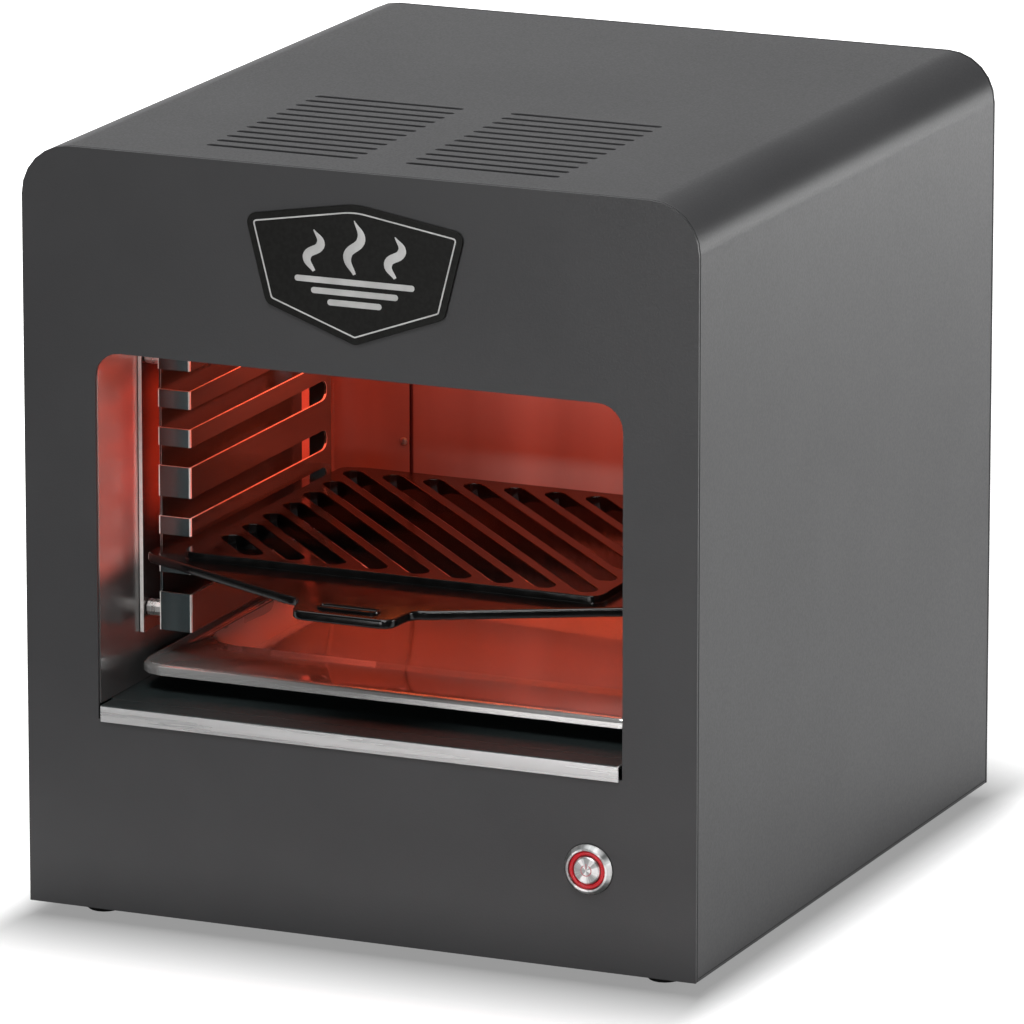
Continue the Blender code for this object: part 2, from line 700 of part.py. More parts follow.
def make_sill_trim():
    """Bright angle over the window's lower edge, laid in the floor's step."""
    top = FLOOR_Z
    face = -GAP - TRIM_SHEET
    radius = TRIM_SHEET
    outline = rounded(
        [
            (back(face), top - TRIM_FACE_HEIGHT, 0),
            (back(face + TRIM_SHEET), top - TRIM_FACE_HEIGHT, 0),
            (back(face + TRIM_SHEET), top - TRIM_SHEET, 0),
            (back(TRIM_DEPTH), top - TRIM_SHEET, 0),
            (back(TRIM_DEPTH), top, 0),
            (back(face), top, radius),
        ],
        SMALL_ARC_STEPS,
    )
    reach = WINDOW_HALF - TRIM_END_GAP
    prism("sill_trim", outline, "X", -reach, reach, stainless("trim steel"))


def make_chamber_floor():
    """Black enamelled floor, stepped down under the trim, with its sides folded down."""
    seat = FLOOR_Z - TRIM_SHEET - GAP
    step = back(TRIM_DEPTH + GAP)
    front = back(PANEL_SHEET / 2)
    rear = back(REAR_WALL_DEPTH + CHAMBER_SHEET)
    outline = [(front, seat - CHAMBER_SHEET), (step + CHAMBER_SHEET, seat - CHAMBER_SHEET)]
    outline += [(step + CHAMBER_SHEET, FLOOR_Z - CHAMBER_SHEET), (rear, FLOOR_Z - CHAMBER_SHEET)]
    outline += [(rear, FLOOR_Z)]
    outline += [(step, FLOOR_Z), (step, seat), (front, seat)]
    inner = WINDOW_HALF - TRIM_END_GAP
    floor = prism("chamber_floor", outline, "X", -inner, inner, black_enamel("floor enamel"))
    wings = []
    for side in (-1, 1):
        edge = CHAMBER_X + side * (SHIELD_INNER_X - GAP)
        edges = sorted((side * (inner - OVERRUN), edge))
        wings.append(rectangle(*edges, FLOOR_Z - CHAMBER_SHEET, FLOOR_Z))
        edges = sorted((edge - side * CHAMBER_SHEET, edge))
        wings.append(rectangle(*edges, FLOOR_Z - FLOOR_FLANGE, FLOOR_Z - CHAMBER_SHEET / 2))
    start = back(PANEL_SHEET + PANEL_RETURN + GAP)
    for number, wing in enumerate(wings):
        boolean(floor, cutter(f"floor wing {number}", [wing], "Y", start, rear), "UNION")


def seam_screw_places():
    for side in (-1, 1):
        for share in SEAM_SCREW_SHARES:
            yield side * (REAR_SEAM_HALF + SEAM_SCREW_EDGE), FLOOR_Z + share * (CHAMBER_TOP_Z - FLOOR_Z)


def seam_screw_holes(name):
    holes = [circle(place, SEAM_SCREW_SHANK_RADIUS + GAP, SMALL_TURN_STEPS) for place in seam_screw_places()]
    return cutter(name, holes, "Y", back(CHAMBER_DEPTH - OVERRUN), back(REAR_WALL_DEPTH + OVERRUN))


def make_chamber_walls():
    """Side walls folded round the rear corners, and the rear wall screwed behind their edges."""
    front = back(PANEL_SHEET + GAP)
    rear = back(CHAMBER_DEPTH)
    low = FLOOR_Z + GAP
    for side, name in ((-1, "chamber_wall_left"), (1, "chamber_wall_right")):
        outline = rounded(
            [
                (side * WALL_INNER_X, front, 0),
                (side * WALL_INNER_X, rear, WALL_BEND_RADIUS),
                (side * REAR_SEAM_HALF, rear, 0),
                (side * REAR_SEAM_HALF, rear + CHAMBER_SHEET, 0),
                (side * WALL_OUTER_X, rear + CHAMBER_SHEET, WALL_BEND_RADIUS + CHAMBER_SHEET),
                (side * WALL_OUTER_X, front, 0),
            ],
            SMALL_ARC_STEPS,
        )
        wall = prism(name, outline, "Z", low, CHAMBER_TOP_Z, stainless("wall steel"))
        boolean(wall, seam_screw_holes(name + " screw holes"))
    reach = REAR_SEAM_HALF + REAR_WALL_LAP
    depth = back(REAR_WALL_DEPTH)
    outline = rectangle(-reach, reach, depth, depth + CHAMBER_SHEET)
    wall = prism("chamber_wall_rear", outline, "Z", low, CHAMBER_TOP_Z, stainless("rear wall steel"))
    boolean(wall, seam_screw_holes("rear wall screw holes"))
    head = (SEAM_SCREW_HEAD_RADIUS, SEAM_SCREW_HEAD_HEIGHT)
    profile = screw_profile(*head, SEAM_SCREW_SHANK_RADIUS, SEAM_SCREW_LENGTH)
    for number, (x, z) in enumerate(seam_screw_places(), 1):
        place = (x, rear, z)
        turned(f"rear_wall_screw_{number}", profile, stainless("small screw"), place, "-Y", SMALL_TURN_STEPS)


def make_reflector():
    """Polished box over the chamber, open below, that hangs the heating elements."""
    sheet = CHAMBER_SHEET
    outer_x = SHIELD_INNER_X - GAP
    inner_x = WALL_INNER_X - REFLECTOR_RIM / 4
    front, rear = back(REFLECTOR_FRONT), back(REFLECTOR_REAR)
    inner_front, inner_rear = back(REFLECTOR_FRONT + REFLECTOR_RIM), back(CHAMBER_DEPTH - REFLECTOR_RIM / 4)
    radius = REFLECTOR_CORNER_RADIUS
    low, high = REFLECTOR_Z, REFLECTOR_TOP_Z

    def ring(inset, height):
        corners = (-inner_x - inset, inner_x + inset, inner_front - inset, inner_rear + inset)
        return rectangle(*corners, radius + inset), height

    edge = rectangle(-outer_x, outer_x, front, rear, sheet)
    sections = [
        ring(0, high - sheet),
        ring(0, low),
        (edge, low),
        (edge, low + sheet),
        ring(sheet, low + sheet),
        ring(sheet, high),
    ]
    reflector = lofted("reflector", sections, stainless("reflector steel"))
    places = [(x, HEATER_Z) for x in heater_end_places()]
    holes = [circle(place, INSULATOR_RADIUS + GAP, TURN_STEPS) for place in places]
    faces = (inner_rear - OVERRUN, inner_rear + sheet + OVERRUN)
    boolean(reflector, cutter("reflector holes", holes, "Y", *faces))
    return inner_front, inner_rear


def heater_runs(side):
    """X of each straight run of one element, from the middle of the reflector outwards."""
    return [side * HEATER_PITCH * (run + 0.5) for run in range(HEATER_RUNS)]


def heater_end_places():
    return [heater_runs(side)[end] for side in (-1, 1) for end in (0, -1)]


def make_heaters(inner_front, inner_rear):
    """Two bent tubular elements, their hangers, and the ceramic bushes at their ends."""
    turn_front = inner_front + HEATER_FRONT_SPACE
    turn_rear = inner_rear - HEATER_REAR_SPACE
    tail = inner_rear + CHAMBER_SHEET + HEATER_TAIL
    radius = HEATER_PITCH / 2
    for side, name in ((-1, "heating_element_left"), (1, "heating_element_right")):
        runs = heater_runs(side)
        points = [Vector((runs[0], tail, HEATER_Z))]
        for number, (here, following) in enumerate(zip(runs, runs[1:])):
            forward = number % 2 == 0
            centre_y = turn_front + radius if forward else turn_rear - radius
            away = -1 if forward else 1
            for step in range(ARC_STEPS + 1):
                angle = math.pi * step / ARC_STEPS
                x = (here + following) / 2 - side * radius * math.cos(angle)
                points.append(Vector((x, centre_y + away * radius * math.sin(angle), HEATER_Z)))
        points.append(Vector((runs[-1], tail, HEATER_Z)))
        tube(name, points, HEATER_RADIUS, finish("element sheath", (0.20, 0.12, 0.09), 0.5, 0.8))
    reach = HEATER_PITCH * HEATER_RUNS + HEATER_RADIUS
    low, high = HEATER_Z - HEATER_RADIUS - BRACKET_DROP, REFLECTOR_TOP_Z - CHAMBER_SHEET - GAP
    for name, share in zip(("element_hanger_front", "element_hanger_rear"), BRACKET_SHARES):
        start = inner_front + share * (inner_rear - inner_front)
        stop = start + BRACKET_SHEET
        hanger = prism(name, rectangle(-reach, reach, low, high), "Y", start, stop, stainless("hanger steel"))
        places = [(x, HEATER_Z) for side in (-1, 1) for x in heater_runs(side)]
        holes = [circle(place, HEATER_RADIUS + GAP, SMALL_TURN_STEPS) for place in places]
        boolean(hanger, cutter(name + " holes", holes, "Y", start - OVERRUN, stop + OVERRUN))
    profile = [
        (HEATER_RADIUS + GAP, -INSULATOR_LENGTH / 2),
        (INSULATOR_RADIUS, -INSULATOR_LENGTH / 2),
        (INSULATOR_RADIUS, CHAMBER_SHEET + GAP),
        (INSULATOR_COLLAR_RADIUS, CHAMBER_SHEET + GAP),
        (INSULATOR_COLLAR_RADIUS, CHAMBER_SHEET + GAP + INSULATOR_COLLAR),
        (INSULATOR_RADIUS, INSULATOR_LENGTH),
        (HEATER_RADIUS + GAP, INSULATOR_LENGTH),
    ]
    for number, x in enumerate(sorted(heater_end_places()), 1):
        name = f"ceramic_bush_{number}"
        place = (x, inner_rear, HEATER_Z)
        turned(name, profile, ceramic("bush ceramic"), place, "Y", SMALL_TURN_STEPS, bored=True)


def make_heat_shield():
    """Bent sheet that stands on the base plate and carries the chamber inside the cover."""
    low = BASE_TOP_Z + GAP
    top = SHIELD_TOP_Z + SHIELD_SHEET
    outline = [(-SHIELD_OUTER_X, low), (-SHIELD_INNER_X, low), (-SHIELD_INNER_X, SHIELD_TOP_Z)]
    outline += [(SHIELD_INNER_X, SHIELD_TOP_Z), (SHIELD_INNER_X, low), (SHIELD_OUTER_X, low)]
    outline += [(SHIELD_OUTER_X, top), (-SHIELD_OUTER_X, top)]
    front = back(PANEL_SHEET + PANEL_RETURN + GAP)
    rear = back(REFLECTOR_REAR + SHIELD_REAR_REACH)
    shield = prism("heat_shield", outline, "Y", front, rear, galvanised("shield zinc"))
    notches = []
    for y in sorted({y for _, _, y in foot_places()}):
        reach = FOOT_HEAD_RADIUS + OVERRUN
        notches.append(rectangle(y - reach, y + reach, low - OVERRUN, low + FOOT_HEAD_HEIGHT + OVERRUN))
    reach = SHIELD_OUTER_X + OVERRUN
    boolean(shield, cutter("foot notches", notches, "X", -reach, reach))


def make_thermal_cutout():
    """Disc thermostat clamped on the reflector's top."""
    profile = [
        (0, 0),
        (CUTOUT_RADIUS, 0),
        (CUTOUT_RADIUS, CUTOUT_HEIGHT / 3),
        (CUTOUT_CAN_RADIUS, CUTOUT_HEIGHT / 3),
        (CUTOUT_CAN_RADIUS, CUTOUT_HEIGHT),
        (0, CUTOUT_HEIGHT),
    ]
    turned("thermal_cutout", profile, finish("phenolic", (0.03, 0.02, 0.02), 0.5, 0), cutout_place())


def cutout_place():
    return Vector((0, back(REFLECTOR_REAR - REFLECTOR_RIM - CUTOUT_RADIUS * 3), REFLECTOR_TOP_Z + GAP))


def slot_bottom(number):
    """Height of the lower edge of a rack's slot, counted from the lowest."""
    extra = RACK_WIDE_LAND - RACK_LAND if number >= RACK_WIDE_LAND_UNDER else 0
    return RACK_Z + RACK_BOTTOM_LAND + number * RACK_PITCH + extra


def spacer_places():
    """Depth and height of the four bolts that hold each rack."""
    for depth in (RACK_SETBACK + SPACER_INSET, RACK_SETBACK + RACK_DEPTH - SPACER_INSET):
        for height in (RACK_Z + SPACER_LOW_HEIGHT, RACK_TOP_Z - SPACER_TOP_DROP):
            yield back(depth), height


def make_racks():
    """Folded channels with open-ended slots, bolted through spacers to carrier plates on the walls."""
    front, rear = back(RACK_SETBACK), back(RACK_SETBACK + RACK_DEPTH)
    for side, hand in ((-1, "left"), (1, "right")):
        outline = rounded(
            [
                (side * LIP_OUTER_X, rear, 0),
                (side * LIP_OUTER_X, front, RACK_SHEET),
                (side * WEB_INNER_X, front, RACK_SHEET),
                (side * WEB_INNER_X, rear, RACK_SHEET),
                (side * (WEB_INNER_X + RACK_REAR_FLANGE), rear, 0),
                (side * (WEB_INNER_X + RACK_REAR_FLANGE), rear - RACK_SHEET, 0),
                (side * WEB_OUTER_X, rear - RACK_SHEET, 0),
                (side * WEB_OUTER_X, front + RACK_SHEET, 0),
                (side * LIP_INNER_X, front + RACK_SHEET, 0),
                (side * LIP_INNER_X, rear, 0),
            ],
            2,
        )
        rack = prism(f"rack_{hand}", outline, "Z", RACK_Z, RACK_TOP_Z, stainless("rack steel"))
        slots, mouths = [], []
        for number in range(RACK_SLOT_COUNT):
            low = slot_bottom(number)
            radius = RACK_SLOT_HEIGHT / 2
            end = rear - RACK_SHEET - RACK_SLOT_STOP
            corners = [(front - OVERRUN, low, 0), (end, low, radius), (end, low + RACK_SLOT_HEIGHT, radius)]
            corners.append((front - OVERRUN, low + RACK_SLOT_HEIGHT, 0))
            slots.append(rounded(corners, SMALL_ARC_STEPS))
            mouths.append(rectangle(front - OVERRUN, front + 2 * RACK_SHEET, low, low + RACK_SLOT_HEIGHT))
        web = sorted((side * (WEB_INNER_X - OVERRUN), side * LIP_INNER_X))
        boolean(rack, cutter(f"rack slots {hand}", slots, "X", *web))
        lip = sorted((side * (LIP_INNER_X - OVERRUN), side * (LIP_OUTER_X + OVERRUN)))
        boolean(rack, cutter(f"rack mouths {hand}", mouths, "X", *lip))
        holes = [circle(place, SPACER_SHANK_RADIUS + GAP, SMALL_TURN_STEPS) for place in spacer_places()]
        boolean(rack, cutter(f"rack bolt holes {hand}", holes, "X", *lip))
        border = CARRIER_BORDER
        carrier = rectangle(front, rear + border, RACK_Z - border, RACK_TOP_Z + border)
        faces = sorted((side * CARRIER_INNER_X, side * CARRIER_OUTER_X))
        prism(f"carrier_plate_{hand}", carrier, "X", *faces, stainless("carrier steel"))
        make_spacer_bolts(side, hand)


def make_spacer_bolts(side, hand):
    """Shouldered bolts: a barrel against the carrier plate and a head inside the rack's channel."""
    lip = LIP_OUTER_X - LIP_INNER_X + 2 * GAP
    profile = [
        (0, 0),
        (SPACER_RADIUS - SPACER_CHAMFER, 0),
        (SPACER_RADIUS, SPACER_CHAMFER),
        (SPACER_RADIUS, SPACER_LENGTH),
        (SPACER_SHANK_RADIUS, SPACER_LENGTH),
        (SPACER_SHANK_RADIUS, SPACER_LENGTH + lip),
        (SPACER_HEAD_RADIUS, SPACER_LENGTH + lip),
        (SPACER_HEAD_RADIUS - SPACER_CHAMFER, SPACER_LENGTH + lip + SPACER_HEAD_HEIGHT),
        (0, SPACER_LENGTH + lip + SPACER_HEAD_HEIGHT),
    ]
    start = side * (CARRIER_INNER_X - GAP)
    axis = "-X" if side > 0 else "X"
    for number, (y, z) in enumerate(spacer_places(), 1):
        name = f"spacer_bolt_{hand}_{number}"
        turned(name, profile, stainless("bolt steel"), (start, y, z), axis, SMALL_TURN_STEPS)


def grate_slot_outlines(low_y, high_y):
    """Diagonal slots with round ends, from one border of the grate to the other."""
    radius = GRATE_SLOT / 2
    half = GRATE_HALF_WIDTH - GRATE_BORDER - radius
    low_y, high_y = low_y + GRATE_BORDER + radius, high_y - GRATE_BORDER - radius
    along = Vector((math.cos(GRATE_ANGLE), -math.sin(GRATE_ANGLE)))
    across = Vector((math.sin(GRATE_ANGLE), math.cos(GRATE_ANGLE)))
    centre = Vector((0, (low_y + high_y) / 2))
    pitch = GRATE_BAR + GRATE_SLOT
    count = int((half * across.x + (high_y - low_y) / 2 * across.y) / pitch)
    for number in range(-count, count + 1):
        middle = centre + across * (number * pitch)
        sideways = sorted(((-half - middle.x) / along.x, (half - middle.x) / along.x))
        inwards = sorted(((low_y - middle.y) / along.y, (high_y - middle.y) / along.y))
        start, stop = max(sideways[0], inwards[0]), min(sideways[1], inwards[1])
        if stop - start > GRATE_SLOT:
            place = middle + along * (start + stop) / 2
            yield stadium(place, stop - start + GRATE_SLOT, GRATE_SLOT, -GRATE_ANGLE, 2)


def make_grill_plate():
    """Enamelled cast plate: flat sides for the racks, a raised slotted grate and a front lug to lift it by.

    Its own frame starts at the front corners of its sides, on its underside.
    """
    shoulder_y = -PLATE_SHOULDER_ADVANCE
    lug_y = shoulder_y - LUG_LENGTH
    side_y = PLATE_SIDE_LENGTH
    tail_y = side_y + PLATE_TAIL_LENGTH
    right = [
        (LUG_HALF_WIDTH, lug_y, LUG_SHOULDER_RADIUS),
        (LUG_HALF_WIDTH + LUG_SHOULDER_RADIUS / 2, shoulder_y, LUG_SHOULDER_RADIUS),
        (PLATE_SHOULDER_HALF, shoulder_y, 0),
        (PLATE_HALF, 0, PLATE_CORNER_RADIUS),
        (PLATE_HALF, side_y, PLATE_CORNER_RADIUS),
        (PLATE_TAIL_HALF, side_y + PLATE_HALF - PLATE_TAIL_HALF, 0),
        (PLATE_TAIL_HALF, tail_y, PLATE_TAIL_RADIUS),
    ]
    left = [(-x, y, radius) for x, y, radius in reversed(right)]
    builder = bmesh.new()
    add_prism(builder, rounded(right + left, SMALL_ARC_STEPS), "Z", 0, PLATE_THICKNESS)
    fold_y = GRATE_SETBACK - PLATE_FRONT_SETBACK
    whole = builder.verts[:] + builder.edges[:] + builder.faces[:]
    bmesh.ops.bisect_plane(builder, geom=whole, plane_co=(0, fold_y, 0), plane_no=(0, 1, 0))
    for vert in builder.verts:
        if vert.co.y < fold_y:
            vert.co.z -= PLATE_APRON_DROP * (fold_y - vert.co.y) / (fold_y - lug_y)
    plate = add_object("grill_plate", builder, black_enamel("plate enamel"))
    plate.location = (0, back(PLATE_FRONT_SETBACK), slot_bottom(RACK_PLATE_SLOT) + GAP)
    rim = plate.modifiers.new("round rim", "BEVEL")
    rim.width = PLATE_EDGE_RADIUS
    rim.segments = 2
    rim.angle_limit = SHARP_ANGLE
    edges = (-GRATE_HALF_WIDTH, GRATE_HALF_WIDTH, fold_y, fold_y + GRATE_LENGTH)
    top = PLATE_THICKNESS + GRATE_RISE
    grate = rectangle(*edges, GRATE_CORNER_RADIUS)
    boolean(plate, cutter("raised grate", [grate], "Z", PLATE_THICKNESS / 2, top, plate), "UNION")
    cuts = list(grate_slot_outlines(fold_y, fold_y + GRATE_LENGTH))
    cuts.append(stadium((0, lug_y + LUG_SLOT_SETBACK), LUG_SLOT_LENGTH, LUG_SLOT_WIDTH, steps=2))
    deep = -PLATE_APRON_DROP - OVERRUN
    boolean(plate, cutter("grate slots", cuts, "Z", deep, top + OVERRUN, plate))


def make_drip_tray():
    """Pressed stainless tray: rounded turned-down rim, wide front apron and sloping walls.

    Its own frame starts at the middle of its front, on its underside. It clears the window's side.
    """
    half = TRAY_WIDTH / 2
    sheet = TRAY_SHEET
    bead = TRAY_BEAD
    corner = TRAY_CORNER_RADIUS
    high = TRAY_HEIGHT

    def ring(side, front, rear, radius, height):
        return rectangle(-half + side, half - side, front, TRAY_LENGTH - rear, radius), height

    def even_ring(inset, height):
        return ring(inset, inset, inset, corner - inset, height)

    def round_edge(radius):
        for step in range(SMALL_ARC_STEPS + 1):
            angle = math.pi / 2 * step / SMALL_ARC_STEPS
            yield even_ring(bead - radius * math.sin(angle), high - bead + radius * math.cos(angle))

    well = (TRAY_SIDE_RIM, TRAY_APRON, TRAY_REAR_RIM, TRAY_WELL_RADIUS)
    deep = (well[0] + TRAY_WALL_RUN, well[1] + TRAY_FRONT_RUN, well[2] + TRAY_WALL_RUN, TRAY_FLOOR_RADIUS)
    lean = sheet * math.tan(math.atan2(TRAY_WALL_RUN, high) / 2)
    under_well = (well[0] - lean, well[1] - lean, well[2] - lean, well[3] + lean)
    under_deep = (deep[0] - lean, deep[1] - lean, deep[2] - lean, deep[3] + lean)
    sections = [
        ring(*deep, sheet),
        ring(*well, high - bead / 4),
        *round_edge(bead),
        even_ring(0, high - TRAY_LIP),
        even_ring(sheet, high - TRAY_LIP),
        *reversed(list(round_edge(bead - sheet))),
        ring(*under_well, high - bead / 4 - sheet),
        ring(*under_deep, 0),
    ]
    tray = lofted("drip_tray", sections, stainless("tray steel"))
    tray.location = (WINDOW_HALF - TRAY_WINDOW_PLAY - half, back(TRAY_SETBACK), FLOOR_Z + GAP)


def move_chamber():
    """Takes what has been built so far, about the chamber's own middle, to its place in the housing."""
    for thing in bpy.data.objects:
        if not thing.parent:
            thing.location.x += CHAMBER_X


def make_badge_plate():
    """Blank shield-shaped plate over the window."""
    low = BADGE_Z
    outline = rounded(
        [
            (0, low, BADGE_CORNER_RADIUS),
            (BADGE_LOW_HALF, low + BADGE_LOW_HEIGHT, BADGE_CORNER_RADIUS),
            (BADGE_TOP_HALF, low + BADGE_TOP_HEIGHT, BADGE_CORNER_RADIUS),
            (0, low + BADGE_CREST_HEIGHT, BADGE_CREST_RADIUS),
            (-BADGE_TOP_HALF, low + BADGE_TOP_HEIGHT, BADGE_CORNER_RADIUS),
            (-BADGE_LOW_HALF, low + BADGE_LOW_HEIGHT, BADGE_CORNER_RADIUS),
        ]
    )
    face = back(-GAP)
    prism("badge_plate", outline, "Y", face - BADGE_THICKNESS, face, black_enamel("badge black"))


def make_button():
    """Housing, nut, light ring and moving cap. Profile heights are depths behind the panel's face."""
    centre = Vector((BUTTON_X, back(0), BASE_Z + BUTTON_HEIGHT))
    seat = -GAP
    face = seat - BUTTON_FLANGE_PROUD
    end = BUTTON_BARREL_LENGTH
    housing = [
        (0, end),
        (BUTTON_BARREL_RADIUS, end),
        (BUTTON_BARREL_RADIUS, seat),
        (BUTTON_FLANGE_RADIUS, seat),
        (BUTTON_FLANGE_RADIUS, face + BUTTON_FLANGE_EDGE),
        (BUTTON_FLANGE_RADIUS - BUTTON_FLANGE_EDGE, face),
        (BUTTON_BORE_RADIUS, face),
        (BUTTON_BORE_RADIUS, end - BUTTON_END_WALL),
        (0, end - BUTTON_END_WALL),
    ]
    turned("button_housing", housing, stainless("housing steel"), centre, "Y", BUTTON_STEPS)
    ring_face = face + BUTTON_RING_RECESS
    ring_back = ring_face + BUTTON_RING_LENGTH
    ring = [
        (BUTTON_RING_BORE_RADIUS, ring_face),
        (BUTTON_RING_RADIUS, ring_face),
        (BUTTON_RING_RADIUS, ring_back),
        (BUTTON_RING_BORE_RADIUS, ring_back),
    ]
    red = finish("red lens", (0.75, 0.02, 0.02), 0.3, 0)
    turned("button_light_ring", ring, red, centre, "Y", BUTTON_STEPS, bored=True)
    cap_face = -BUTTON_CAP_PROUD
    cap_back = end - BUTTON_END_WALL - BUTTON_CONTACT_SPACE - BUTTON_TRAVEL
    cap = [
        (0, cap_face),
        (BUTTON_CAP_RADIUS - BUTTON_CAP_EDGE, cap_face),
        (BUTTON_CAP_RADIUS, cap_face + BUTTON_CAP_EDGE),
        (BUTTON_CAP_RADIUS, cap_back),
        (0, cap_back),
    ]
    turned("button_cap", cap, stainless("cap steel"), centre, "Y", BUTTON_STEPS)
    nut = prism(
        "button_nut",
        circle((BUTTON_X, BASE_Z + BUTTON_HEIGHT), BUTTON_NUT_RADIUS, 6),
        "Y",
        back(PANEL_SHEET + GAP),
        back(PANEL_SHEET + GAP + BUTTON_NUT_THICKNESS),
        stainless("nut steel"),
    )
    bore = circle((BUTTON_X, BASE_Z + BUTTON_HEIGHT), BUTTON_BARREL_RADIUS + GAP, BUTTON_STEPS)
    boolean(nut, cutter("nut bore", [bore], "Y", back(0), back(PANEL_SHEET + PANEL_RETURN)))


def make_electrics():
    """Gland, terminal block and the wires between the switch, the cut-out and the elements."""
    gland_place = Vector((GLAND_X, back(BODY_DEPTH), BASE_Z + GLAND_HEIGHT))
    inner = -COVER_SHEET - GLAND_INNER_LENGTH
    gland = [
        (GLAND_BORE_RADIUS, inner),
        (GLAND_BARREL_RADIUS, inner),
        (GLAND_BARREL_RADIUS, GAP),
        (GLAND_RADIUS, GAP),
        (GLAND_RADIUS, GLAND_COLLAR),
        (GLAND_NOSE_RADIUS, GLAND_COLLAR + GLAND_RADIUS - GLAND_NOSE_RADIUS),
        (GLAND_NOSE_RADIUS, GLAND_PROUD),
        (GLAND_BORE_RADIUS, GLAND_PROUD),
    ]
    turned("cord_gland", gland, black_rubber("gland rubber"), gland_place, "Y", bored=True)
    length, width, height = TERMINAL_SIZE
    low = BASE_TOP_Z + GAP
    rear = back(REAR_PANEL_DEPTH - TERMINAL_REAR_SPACE)
    step = TERMINAL_STEP
    half = width / 2
    steps = [(half, 0), (half, height - step), (half - step, height - step), (half - step, height)]
    mirrored = [(-y, z) for y, z in reversed(steps)]
    outline = [(rear - half + y, low + z) for y, z in steps + mirrored]
    ends = (TERMINAL_X - length / 2, TERMINAL_X + length / 2)
    block = finish("terminal plastic", (0.80, 0.78, 0.70), 0.5, 0)
    prism("terminal_block", outline, "X", *ends, block)
    make_wires(rear, width, low + (height - step) / 2)


def make_wires(block_rear, block_width, height):
    """Wires laid along the base plate and up the rear bay. Each leaves its terminal squarely."""
    pitch = TERMINAL_SIZE[0] / 4
    ground = BASE_TOP_Z + WIRE_LIFT
    stub = Vector((0, WIRE_STUB, 0))
    front_end = Vector((TERMINAL_X + pitch, block_rear - block_width - GAP, height))
    middle_end = Vector((TERMINAL_X, block_rear + GAP, height))
    switch = Vector((BUTTON_X, back(BUTTON_BARREL_LENGTH) + GAP, BASE_Z + BUTTON_HEIGHT))
    aisle = block_rear + (back(REAR_PANEL_DEPTH) - block_rear) / 2
    rise_y = back(REFLECTOR_REAR + SHIELD_REAR_REACH) + WIRE_LIFT
    over = SHIELD_TOP_Z - SHIELD_TOP_GAP / 2
    cutout = cutout_place() + Vector((CHAMBER_X, CUTOUT_CAN_RADIUS + GAP, CUTOUT_HEIGHT * 2 / 3))
    routes = {
        "wire_switch": [
            front_end,
            front_end - stub,
            Vector((front_end.x, front_end.y - 4 * WIRE_STUB, ground)),
            Vector((BUTTON_X / 2, back(CHAMBER_DEPTH / 2), ground)),
            Vector((BUTTON_X, back(RACK_SETBACK * 2), ground + WIRE_LIFT)),
            switch + stub,
            switch,
        ],
        "wire_cutout": [
            middle_end,
            middle_end + stub,
            Vector((TERMINAL_X, aisle, height + block_width / 2)),
            Vector((TERMINAL_X / 2, rise_y, FLOOR_Z)),
            Vector((TERMINAL_X / 4, rise_y, CHAMBER_TOP_Z)),
            Vector((CHAMBER_X, back(REFLECTOR_REAR), over)),
            cutout + stub,
            cutout,
        ],
    }
    tail = back(CHAMBER_DEPTH - REFLECTOR_RIM / 4) + CHAMBER_SHEET + HEATER_TAIL + GAP
    for name, side in (("wire_element_left", -1), ("wire_element_right", 1)):
        x = CHAMBER_X + heater_runs(side)[-1]
        start = Vector((TERMINAL_X + side * pitch * 1.5, block_rear + GAP, height))
        end = Vector((x, tail, HEATER_Z))
        routes[name] = [
            start,
            start + stub,
            Vector((start.x, aisle, height + block_width / 2)),
            Vector(((start.x + x) / 2, rise_y + WIRE_STUB, FLOOR_Z)),
            Vector((x, rise_y + WIRE_STUB, CHAMBER_TOP_Z - block_width)),
            end + stub,
            end,
        ]
    grey = finish("wire sleeve", (0.75, 0.74, 0.70), 0.7, 0)
    for name, places in routes.items():
        tube(name, bent_route(places, WIRE_BEND), WIRE_RADIUS, grey)


remove_everything()
make_chamber_walls()
heater_box = make_reflector()
make_heaters(*heater_box)
make_heat_shield()
make_thermal_cutout()
make_racks()
make_grill_plate()
move_chamber()
make_drip_tray()
make_outer_cover()
make_front_panel()
make_rear_panel()
make_base_plate()
make_feet()
make_sill_trim()
make_chamber_floor()
make_badge_plate()
make_button()
make_electrics()
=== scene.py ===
"""Looks of a countertop electric grill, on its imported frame. Metres, +Z up, the open front faces -Y."""
import math

import bpy
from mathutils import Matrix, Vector


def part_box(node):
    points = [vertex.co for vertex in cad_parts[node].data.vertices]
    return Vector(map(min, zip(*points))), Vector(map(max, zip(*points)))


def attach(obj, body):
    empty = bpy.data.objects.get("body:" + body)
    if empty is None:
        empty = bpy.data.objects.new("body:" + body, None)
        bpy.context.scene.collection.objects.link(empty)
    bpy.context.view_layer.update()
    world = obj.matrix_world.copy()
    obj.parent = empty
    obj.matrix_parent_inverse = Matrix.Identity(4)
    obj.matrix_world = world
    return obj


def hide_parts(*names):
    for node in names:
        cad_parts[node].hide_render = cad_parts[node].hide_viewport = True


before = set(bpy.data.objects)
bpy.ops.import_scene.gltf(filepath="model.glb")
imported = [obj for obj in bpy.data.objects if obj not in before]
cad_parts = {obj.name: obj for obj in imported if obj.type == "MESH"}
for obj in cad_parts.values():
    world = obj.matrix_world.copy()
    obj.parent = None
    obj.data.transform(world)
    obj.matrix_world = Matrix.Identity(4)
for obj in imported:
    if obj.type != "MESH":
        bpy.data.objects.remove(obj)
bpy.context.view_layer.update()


# Camera
# A long lens stands 4.7 m from the grill's front, to the right of it and a little above, so that the
# housing's upright edges stay nearly parallel.
CAMERA_PLACE = (1.8887, -4.3082, 1.3654)
CAMERA_PITCH = -0.247253
CAMERA_TURN = 0.412978
LENS = 347.5
SENSOR = 36
